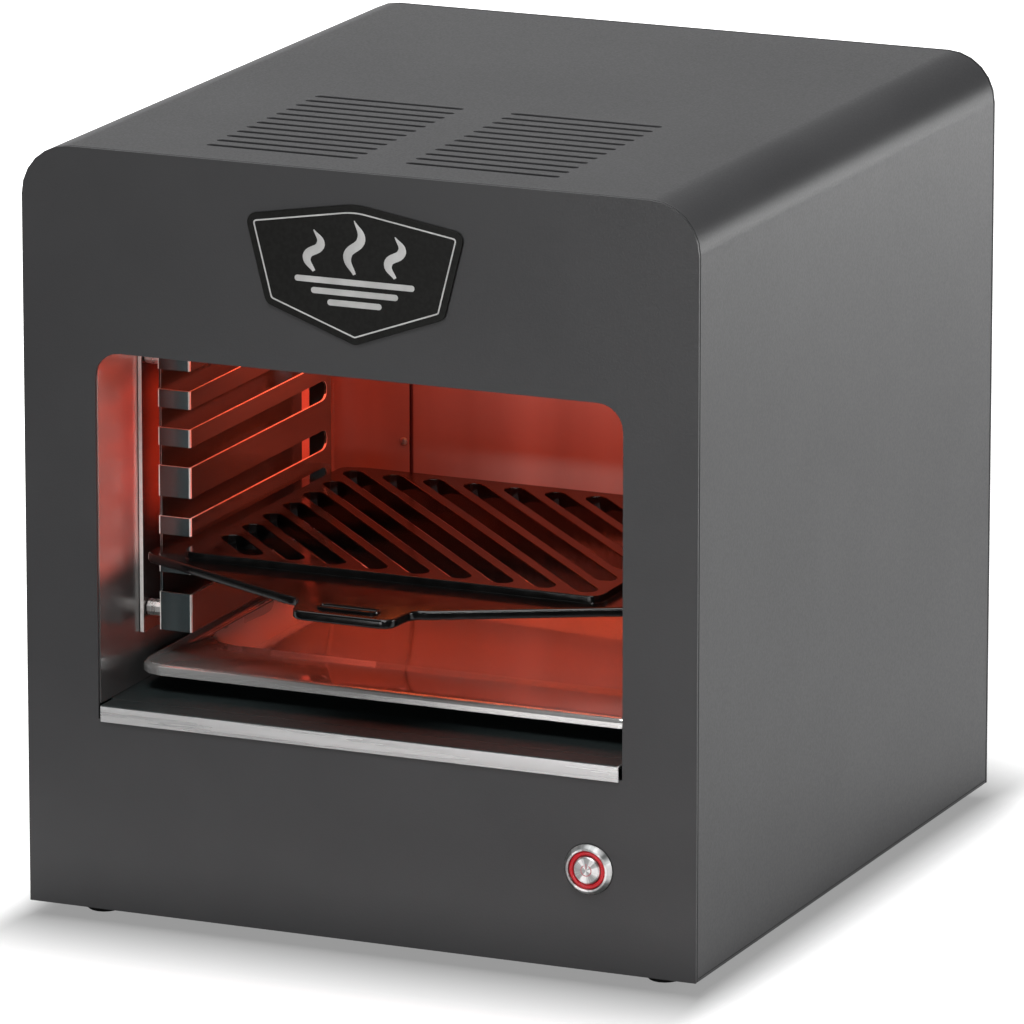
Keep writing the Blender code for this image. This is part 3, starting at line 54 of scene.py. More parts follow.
SIGHT_END = 50

camera_data = bpy.data.cameras.new("camera")
camera_data.lens = LENS
camera_data.sensor_width = SENSOR
camera_data.clip_end = SIGHT_END
camera = bpy.data.objects.new("camera", camera_data)
camera.location = CAMERA_PLACE
camera.rotation_euler = (math.pi / 2 + CAMERA_PITCH, 0, CAMERA_TURN)
bpy.context.scene.collection.objects.link(camera)
bpy.context.scene.camera = camera
bpy.context.scene.view_settings.view_transform = "Standard"


# Studio
# A white table under a pale sky ends just in front of the grill, whose front mirrors the dark room beyond. A
# white card past the edge is what the sill and the tray's rim mirror. Broad lamps hang overhead, in front and
# at the right, and two low ones behind give the top and the right side their sheen.
SKY_LIGHT = 0.10
SKY_SEEN = 1.0
TABLE_TONE = 0.93
# The table's tone at the grill's foot, where the grill's shadow is painted.
PAINTED_SHADOW_TONE = 0.14
SIDE_FADE = 0.025
FRONT_FADE = 0.090
NEAR_GLOW = 0.31
OPEN_GLOW = 0.47
FAR_GLOW = 0.6
FAR_START = 8
FAR_END = 20


def new_material(name):
    """A material with an empty Principled shader, its tree and that shader."""
    material = bpy.data.materials.new(name)
    material.use_nodes = True
    tree = material.node_tree
    return material, tree, tree.nodes["Principled BSDF"]


def tint(tree, shader, mask, dark, light):
    """Mixes two colours by a mask into the Base Color."""
    mix = tree.nodes.new("ShaderNodeMix")
    mix.data_type = "RGBA"
    mix.inputs["A"].default_value = (*dark, 1)
    mix.inputs["B"].default_value = (*light, 1)
    tree.links.new(mask, mix.inputs["Factor"])
    tree.links.new(mix.outputs["Result"], shader.inputs["Base Color"])


def lamp(name, place, target, size, power, colour=(1, 1, 1), mirrored=True):
    """An area lamp, of a width and a height, that looks at a target and isn't seen itself."""
    data = bpy.data.lights.new(name, "AREA")
    data.shape = "RECTANGLE"
    data.size, data.size_y = size
    data.energy = power
    data.color = colour
    thing = bpy.data.objects.new(name, data)
    thing.location = place
    thing.rotation_euler = (Vector(target) - Vector(place)).to_track_quat("-Z", "Y").to_euler()
    thing.visible_camera = False
    thing.visible_glossy = mirrored
    bpy.context.scene.collection.objects.link(thing)


def ground(name, low, high, height, tone, seen=True):
    """A level matt sheet between two corners, which is stage and not part of the grill."""
    middle = ((low[0] + high[0]) / 2, (low[1] + high[1]) / 2, height)
    bpy.ops.object.select_all(action="DESELECT")
    bpy.ops.mesh.primitive_plane_add(size=1, location=middle)
    sheet = bpy.context.active_object
    sheet.name = name
    bpy.ops.transform.resize(value=(high[0] - low[0], high[1] - low[1], 1))
    bpy.ops.object.transform_apply(location=True, rotation=True, scale=True)
    material, tree, shader = new_material(name)
    shader.inputs["Base Color"].default_value = (tone, tone, tone, 1)
    shader.inputs["Roughness"].default_value = 0.9
    shader.inputs["Specular IOR Level"].default_value = 0
    sheet.data.materials.append(material)
    sheet.visible_camera = seen
    return tree, shader


world = bpy.data.worlds.new("studio sky")
bpy.context.scene.world = world
world.use_nodes = True
sky = world.node_tree
background = sky.nodes["Background"]
background.inputs["Color"].default_value = (1, 1, 1, 1)
path = sky.nodes.new("ShaderNodeLightPath")
seen = sky.nodes.new("ShaderNodeMath")
seen.operation = "MAXIMUM"
strength = sky.nodes.new("ShaderNodeMapRange")
strength.inputs["To Min"].default_value = SKY_LIGHT
strength.inputs["To Max"].default_value = SKY_SEEN
sky.links.new(path.outputs["Is Camera Ray"], seen.inputs[0])
sky.links.new(path.outputs["Is Transmission Ray"], seen.inputs[1])
sky.links.new(seen.outputs[0], strength.inputs["Value"])
sky.links.new(strength.outputs[0], background.inputs["Strength"])

lamp("overhead lamp", place=(-0.5, 0.5, 2.6), target=(0, 0.2, 0), size=(3.0, 2.4), power=58)
lamp("front top lamp", place=(0.2, -1.5, 2.2), target=(0, 0, 0.3), size=(1.2, 0.8), power=29)
lamp("side lamp", place=(2.4, -0.2, 0.9), target=(0, 0, 0.2), size=(0.8, 0.8), power=18)
lamp("rear left lamp", place=(-1.1, 2.3, 0.45), target=(0, 0, 0.35), size=(2.4, 0.9), power=5.1)
lamp("rear right lamp", place=(0.95, 1.4, 0.24), target=(0.17, 0, 0.24), size=(0.9, 0.4), power=3.2)
lamp("front panel lamp", place=(-0.5, -2.7, -0.1), target=(0, -0.18, 0.3), size=(0.9, 0.6), power=9)
lamp("low right lamp", place=(0.9, -2.6, 0.5), target=(-0.11, -0.05, 0.12), size=(0.3, 0.2), power=6)

# The grill's shadow is painted on the table: its tone is darker at the grill's foot and gets paler over one fade
# in front and at the sides. To the camera it is a little brighter still, less so near the grill as part of the
# painted shadow and more so many fades away, so that it runs into the white round it.
tree, shader = ground("white table", low=(-3, -0.38), high=(3, 4), height=0, tone=TABLE_TONE)
low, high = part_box("outer_cover")
away_from_grill = (
    ("SUBTRACT", (0, (low.y + high.y) / 2, 0)),
    ("ABSOLUTE", None),
    ("SUBTRACT", (high.x, (high.y - low.y) / 2, 0)),
    ("MAXIMUM", (0, 0, 0)),
    ("DIVIDE", (SIDE_FADE, FRONT_FADE, 1)),
    ("LENGTH", None),
)
place = tree.nodes.new("ShaderNodeTexCoord")
fades = place.outputs["Object"]
for operation, value in away_from_grill:
    step = tree.nodes.new("ShaderNodeVectorMath")
    step.operation = operation
    if value:
        step.inputs[1].default_value = value
    tree.links.new(fades, step.inputs[0])
    fades = step.outputs["Value" if operation == "LENGTH" else "Vector"]
tint(tree, shader, fades, (PAINTED_SHADOW_TONE,) * 3, (TABLE_TONE,) * 3)
lift = tree.nodes.new("ShaderNodeMapRange")
lift.inputs["To Min"].default_value = NEAR_GLOW
lift.inputs["To Max"].default_value = OPEN_GLOW
far_lift = tree.nodes.new("ShaderNodeMapRange")
far_lift.inputs["From Min"].default_value = FAR_START
far_lift.inputs["From Max"].default_value = FAR_END
far_lift.inputs["To Max"].default_value = FAR_GLOW
both_lifts = tree.nodes.new("ShaderNodeMath")
path = tree.nodes.new("ShaderNodeLightPath")
glow = tree.nodes.new("ShaderNodeMath")
glow.operation = "MULTIPLY"
tree.links.new(fades, lift.inputs["Value"])
tree.links.new(fades, far_lift.inputs["Value"])
tree.links.new(lift.outputs[0], both_lifts.inputs[0])
tree.links.new(far_lift.outputs[0], both_lifts.inputs[1])
tree.links.new(path.outputs["Is Camera Ray"], glow.inputs[0])
tree.links.new(both_lifts.outputs[0], glow.inputs[1])
tree.links.new(glow.outputs[0], shader.inputs["Emission Strength"])
shader.inputs["Emission Color"].default_value = (1, 1, 1, 1)
ground("white card", low=(-0.14, -0.62), high=(0.3, -0.50), height=0, tone=0.90, seen=False)
ground("room floor", low=(-6, -6), high=(6, 6), height=-0.75, tone=0.06, seen=False)


# Outer cover
# One steel sheet bent over the top and both sides, with two groups of slots punched in the top. It has a
# fine charcoal powder coat. Its folded edges butt against the front and rear panels.
HAIR = 0.00001
FLAT_ANGLE = math.radians(1)
SMOOTH_ANGLE = math.radians(35)


def build_grain():
    """Even noise as a group: a place, a scale and limits go in, a height and a soft mask come out."""
    group = bpy.data.node_groups.new("grain", "ShaderNodeTree")
    group.interface.new_socket("Vector", in_out="INPUT", socket_type="NodeSocketVector")
    for socket in ("Scale", "Low", "High"):
        group.interface.new_socket(socket, in_out="INPUT", socket_type="NodeSocketFloat")
    for socket in ("Height", "Mask"):
        group.interface.new_socket(socket, in_out="OUTPUT", socket_type="NodeSocketFloat")
    entry = group.nodes.new("NodeGroupInput")
    leave = group.nodes.new("NodeGroupOutput")
    noise = group.nodes.new("ShaderNodeTexNoise")
    noise.inputs["Detail"].default_value = 3
    spread = group.nodes.new("ShaderNodeMapRange")
    spread.interpolation_type = "SMOOTHSTEP"
    group.links.new(entry.outputs["Vector"], noise.inputs["Vector"])
    group.links.new(entry.outputs["Scale"], noise.inputs["Scale"])
    group.links.new(noise.outputs["Fac"], spread.inputs["Value"])
    group.links.new(entry.outputs["Low"], spread.inputs["From Min"])
    group.links.new(entry.outputs["High"], spread.inputs["From Max"])
    group.links.new(noise.outputs["Fac"], leave.inputs["Height"])
    group.links.new(spread.outputs[0], leave.inputs["Mask"])
    return group


grain = build_grain()


def add_grain(tree, scale, stretch=(1, 1, 1)):
    """A grain node on Object coordinates, drawn out along the axes whose stretch is small."""
    place = tree.nodes.new("ShaderNodeTexCoord")
    mapping = tree.nodes.new("ShaderNodeMapping")
    mapping.inputs["Scale"].default_value = stretch
    node = tree.nodes.new("ShaderNodeGroup")
    node.node_tree = grain
    node.inputs["Scale"].default_value = scale
    node.inputs["Low"].default_value = 0.3
    node.inputs["High"].default_value = 0.7
    tree.links.new(place.outputs["Object"], mapping.inputs["Vector"])
    tree.links.new(mapping.outputs[0], node.inputs["Vector"])
    return node


def vary_roughness(tree, shader, mask, low, high):
    """Spreads a mask over a range of roughness."""
    spread = tree.nodes.new("ShaderNodeMapRange")
    spread.inputs["To Min"].default_value = low
    spread.inputs["To Max"].default_value = high
    tree.links.new(mask, spread.inputs["Value"])
    tree.links.new(spread.outputs[0], shader.inputs["Roughness"])


def emboss(tree, shader, height, strength, distance):
    """Raises the surface a little by a height."""
    bump = tree.nodes.new("ShaderNodeBump")
    bump.inputs["Strength"].default_value = strength
    bump.inputs["Distance"].default_value = distance
    tree.links.new(height, bump.inputs["Height"])
    tree.links.new(bump.outputs[0], shader.inputs["Normal"])


def take(piece):
    """Selects a piece alone and makes it the active one, for the operators that follow."""
    bpy.ops.object.select_all(action="DESELECT")
    piece.select_set(True)
    bpy.context.view_layer.objects.active = piece


def give_finish(piece, material):
    """Gives a piece one finish all over."""
    piece.data.materials.clear()
    piece.data.materials.append(material)


def merged_copy(node, name):
    """A node's own shape as a new piece, with its points merged and its flat faces joined."""
    piece = bpy.data.objects.new(name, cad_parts[node].data.copy())
    bpy.context.scene.collection.objects.link(piece)
    take(piece)
    bpy.ops.object.mode_set(mode="EDIT")
    bpy.ops.mesh.select_all(action="SELECT")
    bpy.ops.mesh.remove_doubles(threshold=HAIR)
    bpy.ops.mesh.dissolve_limited(angle_limit=FLAT_ANGLE)
    bpy.ops.object.mode_set(mode="OBJECT")
    return piece


def finished_copy(node, body, material, edge, segments=2, angle=30):
    """A node's own shape with broken edges and smooth bends, shown in place of the node."""
    piece = merged_copy(node, node + "_finished")
    if edge:
        bevel = piece.modifiers.new("broken edge", "BEVEL")
        bevel.width = edge
        bevel.segments = segments
        bevel.limit_method = "ANGLE"
        bevel.angle_limit = math.radians(angle)
        bpy.ops.object.modifier_apply(modifier=bevel.name)
    bpy.ops.object.shade_smooth_by_angle(angle=SMOOTH_ANGLE)
    flat = piece.modifiers.new("flat faces stay flat", "WEIGHTED_NORMAL")
    flat.keep_sharp = True
    bpy.ops.object.modifier_apply(modifier=flat.name)
    give_finish(piece, material)
    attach(piece, body)
    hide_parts(node)
    return piece


charcoal, tree, shader = new_material("charcoal powder coat")
peel = add_grain(tree, scale=900)
cloud = add_grain(tree, scale=14)
tint(tree, shader, cloud.outputs["Mask"], dark=(0.046, 0.046, 0.048), light=(0.052, 0.052, 0.054))
vary_roughness(tree, shader, peel.outputs["Mask"], low=0.32, high=0.40)
emboss(tree, shader, peel.outputs["Height"], strength=0.10, distance=0.0004)
shader.inputs["Specular IOR Level"].default_value = 0.35
finished_copy("outer_cover", "housing", charcoal, edge=0.0003)


# Front panel
# A thicker sheet with its edge folded back into the cover, cut out for the chamber's window and the push
# button. It has the same powder coat as the cover.
finished_copy("front_panel", "housing", charcoal, edge=0.0005, segments=3)


# Rear panel and its screws
# A flat sheet in the same powder coat, with cooling slots over the rear bay. Four zinc-plated pan-head screws
# hold it in the cover's folded edges.
def metal(name, dark, light, roughness, scale, stretch=(1, 1, 1), bump=0.05, metallic=1):
    """Bare metal with a mill grain, drawn out along the axes whose stretch is small."""
    material, tree, shader = new_material(name)
    marks = add_grain(tree, scale, stretch)
    tint(tree, shader, marks.outputs["Mask"], dark, light)
    vary_roughness(tree, shader, marks.outputs["Mask"], roughness * 0.85, roughness * 1.15)
    emboss(tree, shader, marks.outputs["Height"], bump, distance=0.0003)
    shader.inputs["Metallic"].default_value = metallic
    return material


finished_copy("rear_panel", "housing", charcoal, edge=0.0003)
zinc = metal("bright zinc", dark=(0.42, 0.43, 0.44), light=(0.55, 0.56, 0.57), roughness=0.42, scale=160)
for number in range(1, 5):
    finished_copy(f"rear_screw_{number}", "housing", zinc, edge=0.0002)


# Base plate
# Galvanised sheet with turned-up edges and air slots. It closes the housing from below, and the rubber feet
# are pushed through it.
finished_copy("base_plate", "housing", zinc, edge=0.0002)


# Rubber feet and painted shadow lines
# Moulded black rubber feet with a neck that snaps into the base plate. A thin strip of the same rubber runs
# along the joint between the cover's lower hem and its sides: a painted shadow line where that joint is shaded.
SHADOW_LINE_HEIGHT = 0.0016
SHADOW_LINE_WIDTH = 0.0005
SHADOW_LINE_PROUD = 0.0001
SHADOW_LINE_PLAY = 0.002
HANDS = (("left", -1), ("right", 1))


def speckled(name, dark, light, roughness, scale, specular=0.5, bump=0, stretch=(1, 1, 1)):
    """A plain finish, such as rubber, plastic or print, with a fine speckle."""
    material, tree, shader = new_material(name)
    speckle = add_grain(tree, scale, stretch)
    tint(tree, shader, speckle.outputs["Mask"], dark, light)
    if bump:
        emboss(tree, shader, speckle.outputs["Height"], bump, distance=0.0003)
    shader.inputs["Roughness"].default_value = roughness
    shader.inputs["Specular IOR Level"].default_value = specular
    return material


rubber = speckled("black rubber", dark=(0.010, 0.010, 0.010), light=(0.022, 0.022, 0.022), roughness=0.72,
                  scale=700, bump=0.3)
low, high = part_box("outer_cover")
# Each strip is a painted shadow line along the foot of a side.
for hand, side in HANDS:
    bpy.ops.object.select_all(action="DESELECT")
    place = (side * high.x, (low.y + high.y) / 2, low.z + SHADOW_LINE_HEIGHT)
    bpy.ops.mesh.primitive_cube_add(size=1, location=place)
    strip = bpy.context.active_object
    strip.name = f"painted_shadow_line_{hand}"
    bpy.ops.transform.resize(value=(SHADOW_LINE_PROUD * 2, high.y - low.y - SHADOW_LINE_PLAY, SHADOW_LINE_WIDTH))
    bpy.ops.object.transform_apply(location=True, rotation=True, scale=True)
    bpy.ops.object.mode_set(mode="EDIT")
    bpy.ops.mesh.select_all(action="SELECT")
    bpy.ops.mesh.bevel(offset=SHADOW_LINE_PROUD * 0.8, segments=2)
    bpy.ops.object.mode_set(mode="OBJECT")
    give_finish(strip, rubber)
    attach(strip, "housing")
for foot in ("foot_front_left", "foot_front_right", "foot_rear_left", "foot_rear_right"):
    finished_copy(foot, "housing", rubber, edge=0.0004, segments=3, angle=25)


# Badge plate
# A thin black enamelled plate, glued over the window. A plain sign for grilling, heat waves over three bars,
# is printed on it in silver within a fine line.
BADGE_LINE_INSET = 0.0034
BADGE_LINE_WIDTH = 0.0007
PRINT_HEIGHT = 0.00012
WAVES = ((-0.0210, 0.0200), (0, 0.0260), (0.0210, 0.0200))
WAVE_SWAY = (0, -0.0036, 0.0036, 0)
WAVE_TAPER = (0.35, 1, 1, 0.1)
WAVE_RADIUS = 0.0023
WAVE_LIFT = 0.004
BARS = (0.0620, 0.0450, 0.0280)
BAR_WIDTH = 0.0030
BAR_PITCH = 0.0052
TOP_BAR_HEIGHT = 0.030

badge_black = speckled("badge black", dark=(0.006, 0.006, 0.005), light=(0.010, 0.010, 0.009), roughness=0.34,
                       scale=500, specular=0.15)
finished_copy("badge_plate", "housing", badge_black, edge=0.0003)
silver_print, tree, shader = new_material("silver print")
flake = add_grain(tree, scale=900)
cloud = add_grain(tree, scale=60)
tint(tree, shader, cloud.outputs["Mask"], dark=(0.55, 0.55, 0.54), light=(0.68, 0.68, 0.67))
vary_roughness(tree, shader, flake.outputs["Mask"], low=0.40, high=0.55)
shader.inputs["Metallic"].default_value = 0.3


def pick(piece, chosen, kind="VERT"):
    """Leaves a piece in edit mode with the points or faces selected that a test picks by their place."""
    take(piece)
    bpy.ops.object.mode_set(mode="EDIT")
    bpy.ops.mesh.select_mode(type=kind)
    bpy.ops.mesh.select_all(action="DESELECT")
    bpy.ops.object.mode_set(mode="OBJECT")
    for item in piece.data.vertices if kind == "VERT" else piece.data.polygons:
        item.select = chosen(item.co if kind == "VERT" else item.center)
    bpy.ops.object.mode_set(mode="EDIT")


def draw_out(piece, axis, middle, length):
    """Moves a round piece's halves apart along an axis, which makes it longer by a length."""
    for side in (-1, 1):
        move = Vector()
        move[axis] = side * length / 2
        pick(piece, lambda corner: (corner[axis] - middle) * side > HAIR)
        bpy.ops.transform.translate(value=move)
        bpy.ops.object.mode_set(mode="OBJECT")


def press_flat(piece, face, share):
    """Presses a printed form to a share of its height, towards the face that it is on."""
    pick(piece, lambda corner: True)
    bpy.ops.transform.resize(value=(1, share, 1), center_override=(0, face, 0))
    bpy.ops.object.mode_set(mode="OBJECT")


def dress(piece, name, body, material):
    """Names a new piece, moves its origin to the world's and gives it its finish and its body."""
    piece.name = name
    take(piece)
    bpy.ops.object.transform_apply(location=True, rotation=True, scale=True)
    bpy.ops.object.shade_smooth_by_angle(angle=SMOOTH_ANGLE)
    give_finish(piece, material)
    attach(piece, body)


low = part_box("badge_plate")[0]
badge_face = low.y
line = merged_copy("badge_plate", "badge_line")
pick(line, lambda middle: middle.y > badge_face + HAIR, "FACE")
bpy.ops.mesh.delete(type="FACE")
bpy.ops.mesh.select_all(action="SELECT")
bpy.ops.mesh.inset(thickness=BADGE_LINE_INSET)
bpy.ops.mesh.select_all(action="INVERT")
bpy.ops.mesh.delete(type="FACE")
bpy.ops.mesh.select_all(action="SELECT")
bpy.ops.mesh.inset(thickness=BADGE_LINE_WIDTH)
bpy.ops.mesh.delete(type="FACE")
bpy.ops.mesh.select_all(action="SELECT")
bpy.ops.mesh.extrude_region_move(TRANSFORM_OT_translate={"value": (0, -PRINT_HEIGHT, 0)})
bpy.ops.mesh.select_all(action="SELECT")
bpy.ops.mesh.normals_make_consistent(inside=False)
bpy.ops.object.mode_set(mode="OBJECT")
dress(line, "badge_line", "housing", silver_print)

bars_top = low.z + TOP_BAR_HEIGHT
for number, (x, length) in enumerate(WAVES, 1):
    bpy.ops.object.select_all(action="DESELECT")
    bpy.ops.curve.primitive_bezier_curve_add(location=(0, 0, 0))
    wave = bpy.context.active_object
    route = wave.data.splines[0].bezier_points
    route.add(len(WAVE_SWAY) - len(route))
    for step, point in enumerate(route):
        height = bars_top + WAVE_LIFT + length * step / (len(route) - 1)
        point.co = (x + WAVE_SWAY[step], badge_face, height)
        point.handle_left_type = point.handle_right_type = "AUTO"
        point.radius = WAVE_TAPER[step]
    wave.data.bevel_depth = WAVE_RADIUS
    wave.data.bevel_resolution = 3
    wave.data.use_fill_caps = True
    wave.data.resolution_u = 10
    bpy.ops.object.convert(target="MESH")
    bpy.ops.object.mode_set(mode="EDIT")
    bpy.ops.mesh.select_all(action="SELECT")
    bpy.ops.mesh.remove_doubles(threshold=HAIR)
    bpy.ops.object.mode_set(mode="OBJECT")
    press_flat(wave, badge_face, PRINT_HEIGHT / WAVE_RADIUS)
    dress(wave, f"badge_wave_{number}", "housing", silver_print)
for number, length in enumerate(BARS, 1):
    bpy.ops.object.select_all(action="DESELECT")
    place = (0, badge_face, bars_top - (number - 1) * BAR_PITCH)
    bpy.ops.mesh.primitive_cylinder_add(vertices=32, radius=BAR_WIDTH / 2, depth=2 * PRINT_HEIGHT,
                                        location=place, rotation=(math.pi / 2, 0, 0))
    bar = bpy.context.active_object
    bpy.ops.object.transform_apply(location=True, rotation=True, scale=True)
    draw_out(bar, 0, 0, length - BAR_WIDTH)
    dress(bar, f"badge_bar_{number}", "housing", silver_print)


# Push button
# A turned stainless housing with a conical flange, ringed by a thin black rubber ring that is a painted shadow
# line, a red lens ring lit from behind and a spun steel cap with the usual power sign etched into it. The turned
# steel's bright and dark sectors are a painted sheen.
FLANGE_RADIUS = 0.0123
FLANGE_RIM = 0.0003
FLANGE_BEVEL = 0.0012
FLANGE_EDGE_HEIGHT = 0.0007
FLANGE_SHADOW_RADIUS = 0.0127
FLANGE_SHADOW_THICKNESS = 0.0004
SIGN_RADIUS = 0.0026
SIGN_WIDTH = 0.0005
SIGN_HEIGHT = 0.00006
SIGN_GAP = 0.42 * SIGN_RADIUS
STROKE_MIDDLE = 0.75 * SIGN_RADIUS
STROKE_LENGTH = 0.90 * SIGN_RADIUS

low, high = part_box("button_housing")
axis = Vector(((low.x + high.x) / 2, 0, (low.z + high.z) / 2))
plain_radius = (high.x - low.x) / 2
front_face = low.y
cap_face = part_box("button_cap")[0].y
panel_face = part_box("front_panel")[0].y


def turned_metal(name, centre, dark, light, roughness):
    """Steel turned on a lathe: bright and dark sectors round its centre, which are a painted sheen, and fine
    rings.
    """
    material, tree, shader = new_material(name)
    place = tree.nodes.new("ShaderNodeTexCoord")
    shift = tree.nodes.new("ShaderNodeVectorMath")
    shift.operation = "SUBTRACT"
    shift.inputs[1].default_value = centre
    level = tree.nodes.new("ShaderNodeVectorMath")
    level.operation = "MULTIPLY"
    level.inputs[1].default_value = (1, 0, 1)
    ray = tree.nodes.new("ShaderNodeVectorMath")
    ray.operation = "NORMALIZE"
    distance = tree.nodes.new("ShaderNodeVectorMath")
    distance.operation = "LENGTH"
    sectors = tree.nodes.new("ShaderNodeGroup")
    sectors.node_tree = grain
    sectors.inputs["Scale"].default_value = 1.6
    sectors.inputs["Low"].default_value = 0.38
    sectors.inputs["High"].default_value = 0.62
    rings = tree.nodes.new("ShaderNodeTexNoise")
    rings.noise_dimensions = "1D"
    rings.inputs["Scale"].default_value = 6000
    tree.links.new(place.outputs["Object"], shift.inputs[0])
    tree.links.new(shift.outputs[0], level.inputs[0])
    tree.links.new(level.outputs[0], ray.inputs[0])
    tree.links.new(level.outputs[0], distance.inputs[0])
    tree.links.new(ray.outputs[0], sectors.inputs["Vector"])
    tree.links.new(distance.outputs["Value"], rings.inputs["W"])
    tint(tree, shader, sectors.outputs["Mask"], dark, light)
    vary_roughness(tree, shader, sectors.outputs["Mask"], roughness, roughness * 1.4)
    emboss(tree, shader, rings.outputs["Fac"], strength=0.08, distance=0.0001)
    shader.inputs["Metallic"].default_value = 0.85
    return material


def out_of_axis(corner):
    """How far a point lies from the button's axis."""
    return math.hypot(corner.x - axis.x, corner.z - axis.z)


# Its light and dark sectors are a painted sheen of the turning.
turned_steel = turned_metal("turned steel", axis, dark=(0.34, 0.35, 0.35), light=(0.92, 0.92, 0.92),
                            roughness=0.28)
housing = finished_copy("button_housing", "housing", turned_steel, edge=0.00025, segments=3,
                        angle=25)
pick(housing, lambda corner: out_of_axis(corner) > plain_radius - FLANGE_RIM)
grow = FLANGE_RADIUS / plain_radius
bpy.ops.transform.resize(value=(grow, 1, grow), center_override=(axis.x, front_face, axis.z))
bpy.ops.object.mode_set(mode="OBJECT")
flange_edge = panel_face - FLANGE_EDGE_HEIGHT
pick(housing, lambda corner: out_of_axis(corner) > plain_radius and corner.y < flange_edge)
bpy.ops.transform.translate(value=(0, flange_edge - (front_face + FLANGE_BEVEL), 0))
bpy.ops.object.mode_set(mode="OBJECT")
bpy.ops.object.shade_smooth_by_angle(angle=SMOOTH_ANGLE)

# A thin black ring round the flange is a painted shadow line.
bpy.ops.object.select_all(action="DESELECT")
bpy.ops.mesh.primitive_torus_add(location=(axis.x, panel_face, axis.z), rotation=(math.pi / 2, 0, 0),
                                 major_segments=64, minor_segments=8,
                                 major_radius=FLANGE_SHADOW_RADIUS - FLANGE_SHADOW_THICKNESS,
                                 minor_radius=FLANGE_SHADOW_THICKNESS)
dress(bpy.context.active_object, "flange_shadow_ring", "housing", rubber)


def add_glow(material, colour, strength):
    """Makes a finish give off light of its own."""
    shader = material.node_tree.nodes["Principled BSDF"]
    shader.inputs["Emission Color"].default_value = (*colour, 1)
    shader.inputs["Emission Strength"].default_value = strength


lens = speckled("red lens", dark=(0.42, 0.010, 0.016), light=(0.50, 0.014, 0.022), roughness=0.16, scale=400)
add_glow(lens, colour=(1, 0.03, 0.05), strength=0.12)
finished_copy("button_light_ring", "housing", lens, edge=0.0008, segments=4, angle=40)
finished_copy("button_cap", "button_cap", turned_steel, edge=0.0002, segments=3)
give_finish(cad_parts["button_nut"], turned_steel)

etched = speckled("etched red", dark=(0.50, 0.13, 0.15), light=(0.62, 0.22, 0.24), roughness=0.5, scale=900)
flat_share = SIGN_HEIGHT / (SIGN_WIDTH / 2)
bpy.ops.object.select_all(action="DESELECT")
bpy.ops.mesh.primitive_torus_add(location=(axis.x, cap_face, axis.z), rotation=(math.pi / 2, 0, 0),
                                 major_segments=48, minor_segments=8, major_radius=SIGN_RADIUS,
                                 minor_radius=SIGN_WIDTH / 2)
sign = bpy.context.active_object
bpy.ops.object.transform_apply(location=True, rotation=True, scale=True)
pick(sign, lambda corner: corner.z > axis.z and abs(corner.x - axis.x) < SIGN_GAP)
bpy.ops.mesh.delete(type="VERT")
bpy.ops.mesh.select_all(action="DESELECT")
bpy.ops.mesh.select_non_manifold()
bpy.ops.mesh.edge_face_add()
bpy.ops.object.mode_set(mode="OBJECT")
press_flat(sign, cap_face, flat_share)
dress(sign, "power_sign_ring", "button_cap", etched)
stroke_place = (axis.x, cap_face, axis.z + STROKE_MIDDLE)
bpy.ops.object.select_all(action="DESELECT")
bpy.ops.mesh.primitive_uv_sphere_add(segments=16, ring_count=10, radius=SIGN_WIDTH / 2, location=stroke_place)
stroke = bpy.context.active_object
bpy.ops.object.transform_apply(location=True, rotation=True, scale=True)
draw_out(stroke, 2, axis.z + STROKE_MIDDLE, STROKE_LENGTH)
press_flat(stroke, cap_face, flat_share)
dress(stroke, "power_sign_stroke", "button_cap", etched)


# Sill trim
# A bright stainless angle that covers the raw lower edge of the window. Its top leg has the floor's black
# enamel, which was fired over both. A face whose normal has the share FACING along an axis faces that way.
FACING = 0.7


def paint_faces(piece, material, chosen):
    """Gives a further finish to the faces that a test picks by their middle and normal."""
    piece.data.materials.append(material)
    for face in piece.data.polygons:
        if chosen(face.center, face.normal):
            face.material_index = len(piece.data.materials) - 1


def fired_enamel(name, dark, light, smooth, rough, scale, specular, bump, relief):
    """Vitreous enamel with the soft ripple that it has from its firing."""
    material, tree, shader = new_material(name)
    ripple = add_grain(tree, scale)
    tint(tree, shader, ripple.outputs["Mask"], dark, light)
    vary_roughness(tree, shader, ripple.outputs["Mask"], smooth, rough)
    emboss(tree, shader, ripple.outputs["Height"], bump, relief)
    shader.inputs["Specular IOR Level"].default_value = specular
    return material


enamel = fired_enamel("black enamel", dark=(0.020, 0.0275, 0.028), light=(0.027, 0.0365, 0.037), smooth=0.42,
                      rough=0.50, scale=260, specular=0.3, bump=0.06, relief=0.0005)
trim_steel = metal("trim steel", dark=(0.60, 0.60, 0.60), light=(0.66, 0.66, 0.66), roughness=0.28, scale=90,
                   stretch=(0.1, 3, 3), bump=0.005, metallic=0.60)
trim = finished_copy("sill_trim", "housing", trim_steel, edge=0.0003)
paint_faces(trim, enamel, lambda middle, normal: normal.z > FACING)


# Chamber floor
# A pressed sheet with black vitreous enamel, stepped down under the trim. It carries the walls, and the drip
# tray slides on it.
finished_copy("chamber_floor", "housing", enamel, edge=0.0002)


